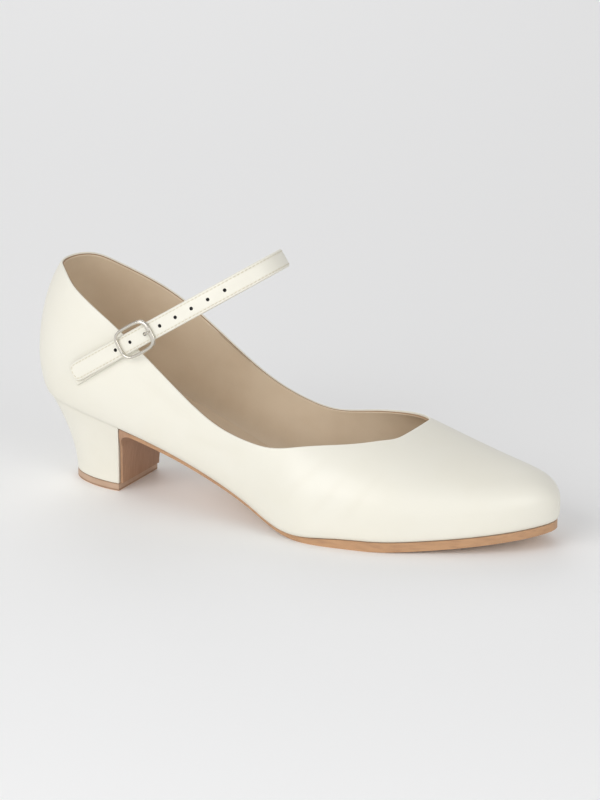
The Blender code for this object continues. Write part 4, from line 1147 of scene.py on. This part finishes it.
# one short thread after another along a line, each dipping into the leather at its ends
def sewAlong(lines, seed):
    luck = random.Random(seed)
    parts = []
    for points, normals in lines:
        t = chords(points)
        for place in np.arange(stitch["pitch"] / 2, t[-1] - stitch["length"] / 2, stitch["pitch"]):
            at, normal = readAt(place, t, points), readAt(place, t, normals)
            ahead = unit(readAt(place + 0.0004, t, points) - at)
            normal = unit(normal - ahead * (normal @ ahead))
            side = np.cross(normal, ahead)
            ahead = ahead + side * luck.uniform(0.03, 0.12)
            some = []
            for q in np.linspace(-1, 1, 7):
                r = stitch["radius"] * math.sqrt(max(1 - (0.96 * q) ** 4, 0.02))
                middle = at + ahead * q * stitch["length"] / 2 + normal * (stitch["lift"] - 0.00016 * q**4)
                some += [middle + (side * c + normal * s) * r for c, s in circle(8)]
            parts.append((some, tubeFaces(7, 8) + [range(7, -1, -1), range(48, 56)]))
    return joined(parts)


def barDepth():
    straps = strapSizes["thickness"] / 2 + strapSizes["shortThickness"]
    return straps + 2 * shoe["gap"] + buckle["barDiameter"] / 2


def frameHeight():
    return strapSizes["thickness"] / 2 + shoe["gap"] + buckle["wire"] / 2


def rod(points, radius, sides=16, closed=False, wide=None, ends=None):
    points = np.asarray(points, float)
    count = len(points)
    if closed:
        tangent = unit(np.roll(points, -1, axis=0) - np.roll(points, 1, axis=0))
    else:
        tangent = unit(np.gradient(points, axis=0))
    normal = np.linalg.svd(points - points.mean(axis=0))[2][2]
    sideWay = unit(np.cross(tangent, normal))
    angle = np.linspace(0, 2 * math.pi, sides, endpoint=False)
    wide = np.full(count, radius) if wide is None else np.asarray(wide, float)
    thin = np.ones(count) if ends is None else np.asarray(ends, float)
    ring = (
        points[:, None]
        + np.cos(angle)[None, :, None] * sideWay[:, None] * (wide * thin)[:, None, None]
        + np.sin(angle)[None, :, None] * normal * radius * thin[:, None, None]
    )
    faces = tubeFaces(count, sides, closed)
    if not closed:
        faces += [range(sides - 1, -1, -1), range((count - 1) * sides, count * sides)]
    return ring.reshape(-1, 3), faces


def makeBuckle(plane):
    halfLong, halfWide = (buckle["length"] - buckle["wire"]) / 2, (buckle["width"] - buckle["wire"]) / 2
    angle = np.linspace(0, 2 * math.pi, 144, endpoint=False)
    loop = np.column_stack([np.cos(angle), np.sin(angle)])
    loop = np.sign(loop) * np.abs(loop) ** 0.55 * (halfLong, halfWide)
    t, w = resample(np.concatenate([loop, loop[:1]]), 145)[:-1].T
    broad = 1 + 0.6 * np.clip(t / halfLong, 0, 1) ** 8
    middle = plane.fromBuckle(t, np.full(len(t), frameHeight()), w)
    ring = rod(middle, buckle["wire"] / 2, 18, True, buckle["wire"] / 2 * broad)
    side = [(1.0, frameHeight()), (0.93, 0.0), (0.86, -barDepth() * 0.75), (0.76, -barDepth())]
    path = [(buckle["barPlace"], h, halfWide * w) for w, h in side]
    path = np.array(path + [(buckle["barPlace"], h, -w) for _, h, w in path[::-1]])
    path = smoothPath(path, 60)
    bar = rod([plane.fromBuckle(*p) for p in path], buckle["barDiameter"] / 2, 14)
    points, faces = joined([ring, bar])
    makePiece("buckleFrame", points, faces, [silver], ["buckle_frame"], weld=0.000001)

    radius = buckle["prongDiameter"] / 2
    hook = buckle["barDiameter"] / 2 + shoe["gap"] + radius
    angle = np.radians([200, 235, 270, 305, 340, 15, 50, 80])
    t = list(buckle["barPlace"] + hook * np.cos(angle))
    h = list(-barDepth() + hook * np.sin(angle))
    rest = frameHeight() + buckle["wire"] / 2 + shoe["gap"] + radius
    tip = (buckle["length"] - buckle["wire"]) / 2
    t += [buckle["barPlace"], buckle["barPlace"], buckle["barPlace"] + 0.0006, tip - 0.0007, tip + 0.0008]
    h += [-strapSizes["thickness"] / 2, strapSizes["thickness"] / 2, rest - 0.0012, rest, rest + 0.0001]
    path = smoothPath(np.column_stack([t, h]), 90)
    fromTip = chords(path)[-1] - chords(path)
    thin = np.maximum(roundOff(fromTip, 0.0006), math.sqrt(0.05))
    points, faces = rod(plane.fromBuckle(path[:, 0], path[:, 1], 0.0), radius, 14, ends=thin)
    makePiece("buckleProng", points, faces, [silver], ["buckle_prong"], weld=0.000001)


def plainLeather(name, color, dark, grainSize, roughness):
    material, paint, place = startMaterial(name)
    fine = paint.noise(place, grainSize, 4, 0.6)
    cells = paint.cells(place, grainSize * 2.2, "SMOOTH_F1")
    patches = paint.noise(place, 0.015, 3).between(0.3, 0.75)
    return finishMaterial(
        material,
        Base_Color=(patches * 0.35 + fine * 0.3).mixColor(color, dark),
        Roughness=roughness + fine * 0.12,
        Normal=(fine + cells * 0.6).bump(0.00005, 0.5),
    )


liningLeather = plainLeather("lining leather", (0.72, 0.60, 0.45), (0.60, 0.47, 0.33), 0.0004, 0.52)
sockLeather = plainLeather("sock leather", (0.70, 0.575, 0.43), (0.60, 0.465, 0.33), 0.0005, 0.48)
rawEdge = plainLeather("raw leather edge", (0.42, 0.27, 0.16), (0.30, 0.18, 0.10), 0.0003, 0.75)
holeShade = plainLeather("hole shade", (0.030, 0.028, 0.030), (0.020, 0.019, 0.020), 0.0003, 0.7)
threadWhite = plainLeather("ivory thread", (0.73, 0.69, 0.56), (0.60, 0.54, 0.41), 0.0002, 0.55)

soleLook = {
    "under": (0.800, 0.590, 0.440),
    "underDark": (0.700, 0.490, 0.345),
    "edge": (0.520, 0.300, 0.160),
    "edgeDark": (0.340, 0.185, 0.100),
    # the breast flap: darker browns that paint the shade on the breast, the lighter one on the outer side
    "breast": (0.360, 0.195, 0.110),
    "breastLighterShade": (0.450, 0.262, 0.158),
    "flapEnd": 0.026,
    "ribs": 0.0013,
    "dots": 0.0016,
    "dotsStart": 0.098,
}


def makeSoleMaterial():
    material, paint, place = startMaterial("sole leather")
    x, y = place.axis(0), place.axis(1)
    fine = paint.noise(place, 0.0005, 4, 0.6)
    cloud = paint.noise(place, 0.014, 3).between(0.30, 0.72)
    edge = paint.wear().between(0.84, 0.94)
    under = (cloud * 0.6 + fine * 0.25).clamp().mixColor(soleLook["under"], soleLook["underDark"])
    rubbed = paint.noise(place, 0.004, 3, 0.6, (0.4, 1.0, 3.0)).between(0.35, 0.75)
    side = (rubbed * 0.55).mixColor(soleLook["edge"], soleLook["edgeDark"])
    streaks = paint.noise(place, 0.0011, 3, 0.6, (1.0, 1.0, 0.07)).between(0.35, 0.66)
    flap = 1 - x.between(soleLook["flapEnd"] - 0.003, soleLook["flapEnd"])
    tan = edge.mixColor(under, side)
    # painted shade on the breast flap: dark brown, lighter towards the outer side, with streaks
    shade = (y + 0.014).between(0.0, 0.012)
    breast = (streaks * 0.55 + (1 - shade) * 0.45).mixColor(soleLook["breast"], soleLook["breastLighterShade"])
    color = flap.mixColor(tan, breast)
    # ribs run aslant over the waist and ball, and a field of small dots covers the front
    turn = 2 * math.pi
    bow = x + y * 0.45 + y * y * 6
    ribs = bow.math("SINE", bow * (turn / soleLook["ribs"]))
    dots = x.math("SINE", x * (turn / soleLook["dots"])) * y.math("SINE", y * (turn / soleLook["dots"]))
    front = (x - y * y * 9).between(soleLook["dotsStart"], soleLook["dotsStart"] + 0.0004)
    relief = (1 - front) * ribs * 0.5 + front * dots.between(0.25, 0.75)
    relief = relief * (1 - edge) * (1 - flap)
    return finishMaterial(
        material,
        Base_Color=color,
        Roughness=0.46 + fine * 0.12 - edge * 0.08,
        Normal=(relief + fine * 0.25 + streaks * flap * 0.25).bump(0.00012, 0.6),
    )


liftLook = {
    "side": (0.560, 0.385, 0.270),
    "sideDark": (0.270, 0.150, 0.085),
    "under": (0.840, 0.640, 0.490),
    "underDark": (0.740, 0.520, 0.380),
}


def makeLiftMaterial():
    material, paint, place = startMaterial("top piece")
    z = place.axis(2)
    fine = paint.noise(place, 0.0005, 4, 0.6)
    cloud = paint.noise(place, 0.006, 3).between(0.3, 0.75)
    rim = (1 - z.between(0.0004, 0.0012)) + z.between(heel["liftThickness"] - 0.0006, heel["liftThickness"])
    side = (rim * 0.75 + cloud * 0.2).clamp().mixColor(liftLook["side"], liftLook["sideDark"])
    under = (cloud * 0.6 + fine * 0.2).clamp().mixColor(liftLook["under"], liftLook["underDark"])
    return finishMaterial(
        material,
        Base_Color=z.between(0.00010, 0.00025).mixColor(under, side),
        Roughness=0.5 + fine * 0.12,
        Normal=(fine + cloud * 0.5).bump(0.00004, 0.5),
    )


soleLeather = makeSoleMaterial()
topPiece = makeLiftMaterial()


def metal(name, color, roughness):
    material, paint, place = startMaterial(name)
    scratches = paint.noise(place, 0.00030, 2, 0.5, (1.0, 4.0, 1.0))
    return finishMaterial(
        material,
        Base_Color=color, Metallic=1.0,
        Roughness=roughness + scratches * 0.05,
        Normal=scratches.bump(0.000001, 0.3),
    )


silver = metal("buckle metal", (0.68, 0.645, 0.575, 1.0), 0.22)
nailSteel = metal("nail steel", (0.16, 0.14, 0.13, 1.0), 0.35)

makeUpper()
print("upper and lining made")
makeSock()
makeHeel()
makeTopLift()
makeOutsole()
print("sole, heel and sock made")
strapPlane = StrapPlane()
seams = {"strapStitches": (makeStrap(strapPlane), 3), "shortStrapStitches": (makeShortStrap(strapPlane), 5)}
for name, (lines, seed) in seams.items():
    points, faces = sewAlong(lines, seed)
    makePiece(name, points, faces, [threadWhite], weld=0.000001)
makeBuckle(strapPlane)
print("strap, stitches and buckle made")

view = {
    "azimuth": 27.33,
    "elevation": 17.71,
    "roll": 0.29,
    "distance": 2.857,
    "lens": 300.0,
    "target": (0.0906, -0.0018, 0.04),
    "right": 0.0034,
    "up": 0.0082,
}


def makeCamera():
    a, e, r = (math.radians(view[k]) for k in ("azimuth", "elevation", "roll"))
    back = Vector((math.sin(a) * math.cos(e), -math.cos(a) * math.cos(e), math.sin(e)))
    right = Vector((math.cos(a), math.sin(a), 0.0))
    up = back.cross(right)
    right, up = right * math.cos(r) + up * math.sin(r), up * math.cos(r) - right * math.sin(r)
    data = bpy.data.cameras.new("photo camera")
    data.lens = view["lens"]
    data.sensor_width = 36.0
    camera = addObject("photo camera", data)
    aim = Vector(view["target"]) + right * view["right"] + up * view["up"]
    eye = aim + back * view["distance"]
    camera.matrix_world = Matrix((*zip(right, up, back, eye), (0, 0, 0, 1)))
    bpy.context.scene.camera = camera


makeCamera()

studio = {
    "floor": (0.94, 0.94, 0.935),
    # brightness of the room low down, and overhead
    "horizon": 0.72,
    "zenith": 0.44,
    # name, place, aim, width, height, watts
    "lights": (
        ("key", (-0.25, -1.35, 0.80), (0.09, 0.0, 0.04), 1.3, 1.1, 11.6),
        ("toe fill", (1.30, -0.60, 0.55), (0.12, 0.0, 0.03), 0.8, 0.8, 4.0),
        ("back", (-0.60, 1.00, 0.90), (0.05, 0.0, 0.05), 0.8, 0.8, 3.3),
    ),
}


def makeStudio():
    mesh = bpy.data.meshes.new("floor")
    mesh.from_pydata([(-6, -6, 0), (6, -6, 0), (6, 6, 0), (-6, 6, 0)], [], [(0, 1, 2, 3)])
    floor = addObject("floor", mesh)
    material = startMaterial("floor")[0]
    mesh.materials.append(finishMaterial(material, Base_Color=(*studio["floor"], 1.0), Roughness=0.75))
    for name, place, aim, wide, high, watts in studio["lights"]:
        data = bpy.data.lights.new(name, "AREA")
        data.shape, data.size, data.size_y, data.energy = "RECTANGLE", wide, high, watts
        lamp = addObject(name, data)
        lamp.location = place
        lamp.rotation_euler = (Vector(aim) - Vector(place)).to_track_quat("-Z", "Y").to_euler()
    world = bpy.data.worlds.new("studio")
    bpy.context.scene.world = world
    world.use_nodes = True
    sky = Wire(world.node_tree)
    height = sky.node("ShaderNodeTexCoord", out="Generated").axis(2)
    low, high = studio["horizon"], studio["zenith"]
    glow = height.between(0.05, 0.80).mixColor((low, low, low), (high, high, high * 1.02))
    world.node_tree.links.new(glow.socket, world.node_tree.nodes["Background"].inputs["Color"])
    bpy.context.scene.view_settings.view_transform = "Standard"


makeStudio()
print("camera, floor and light set")
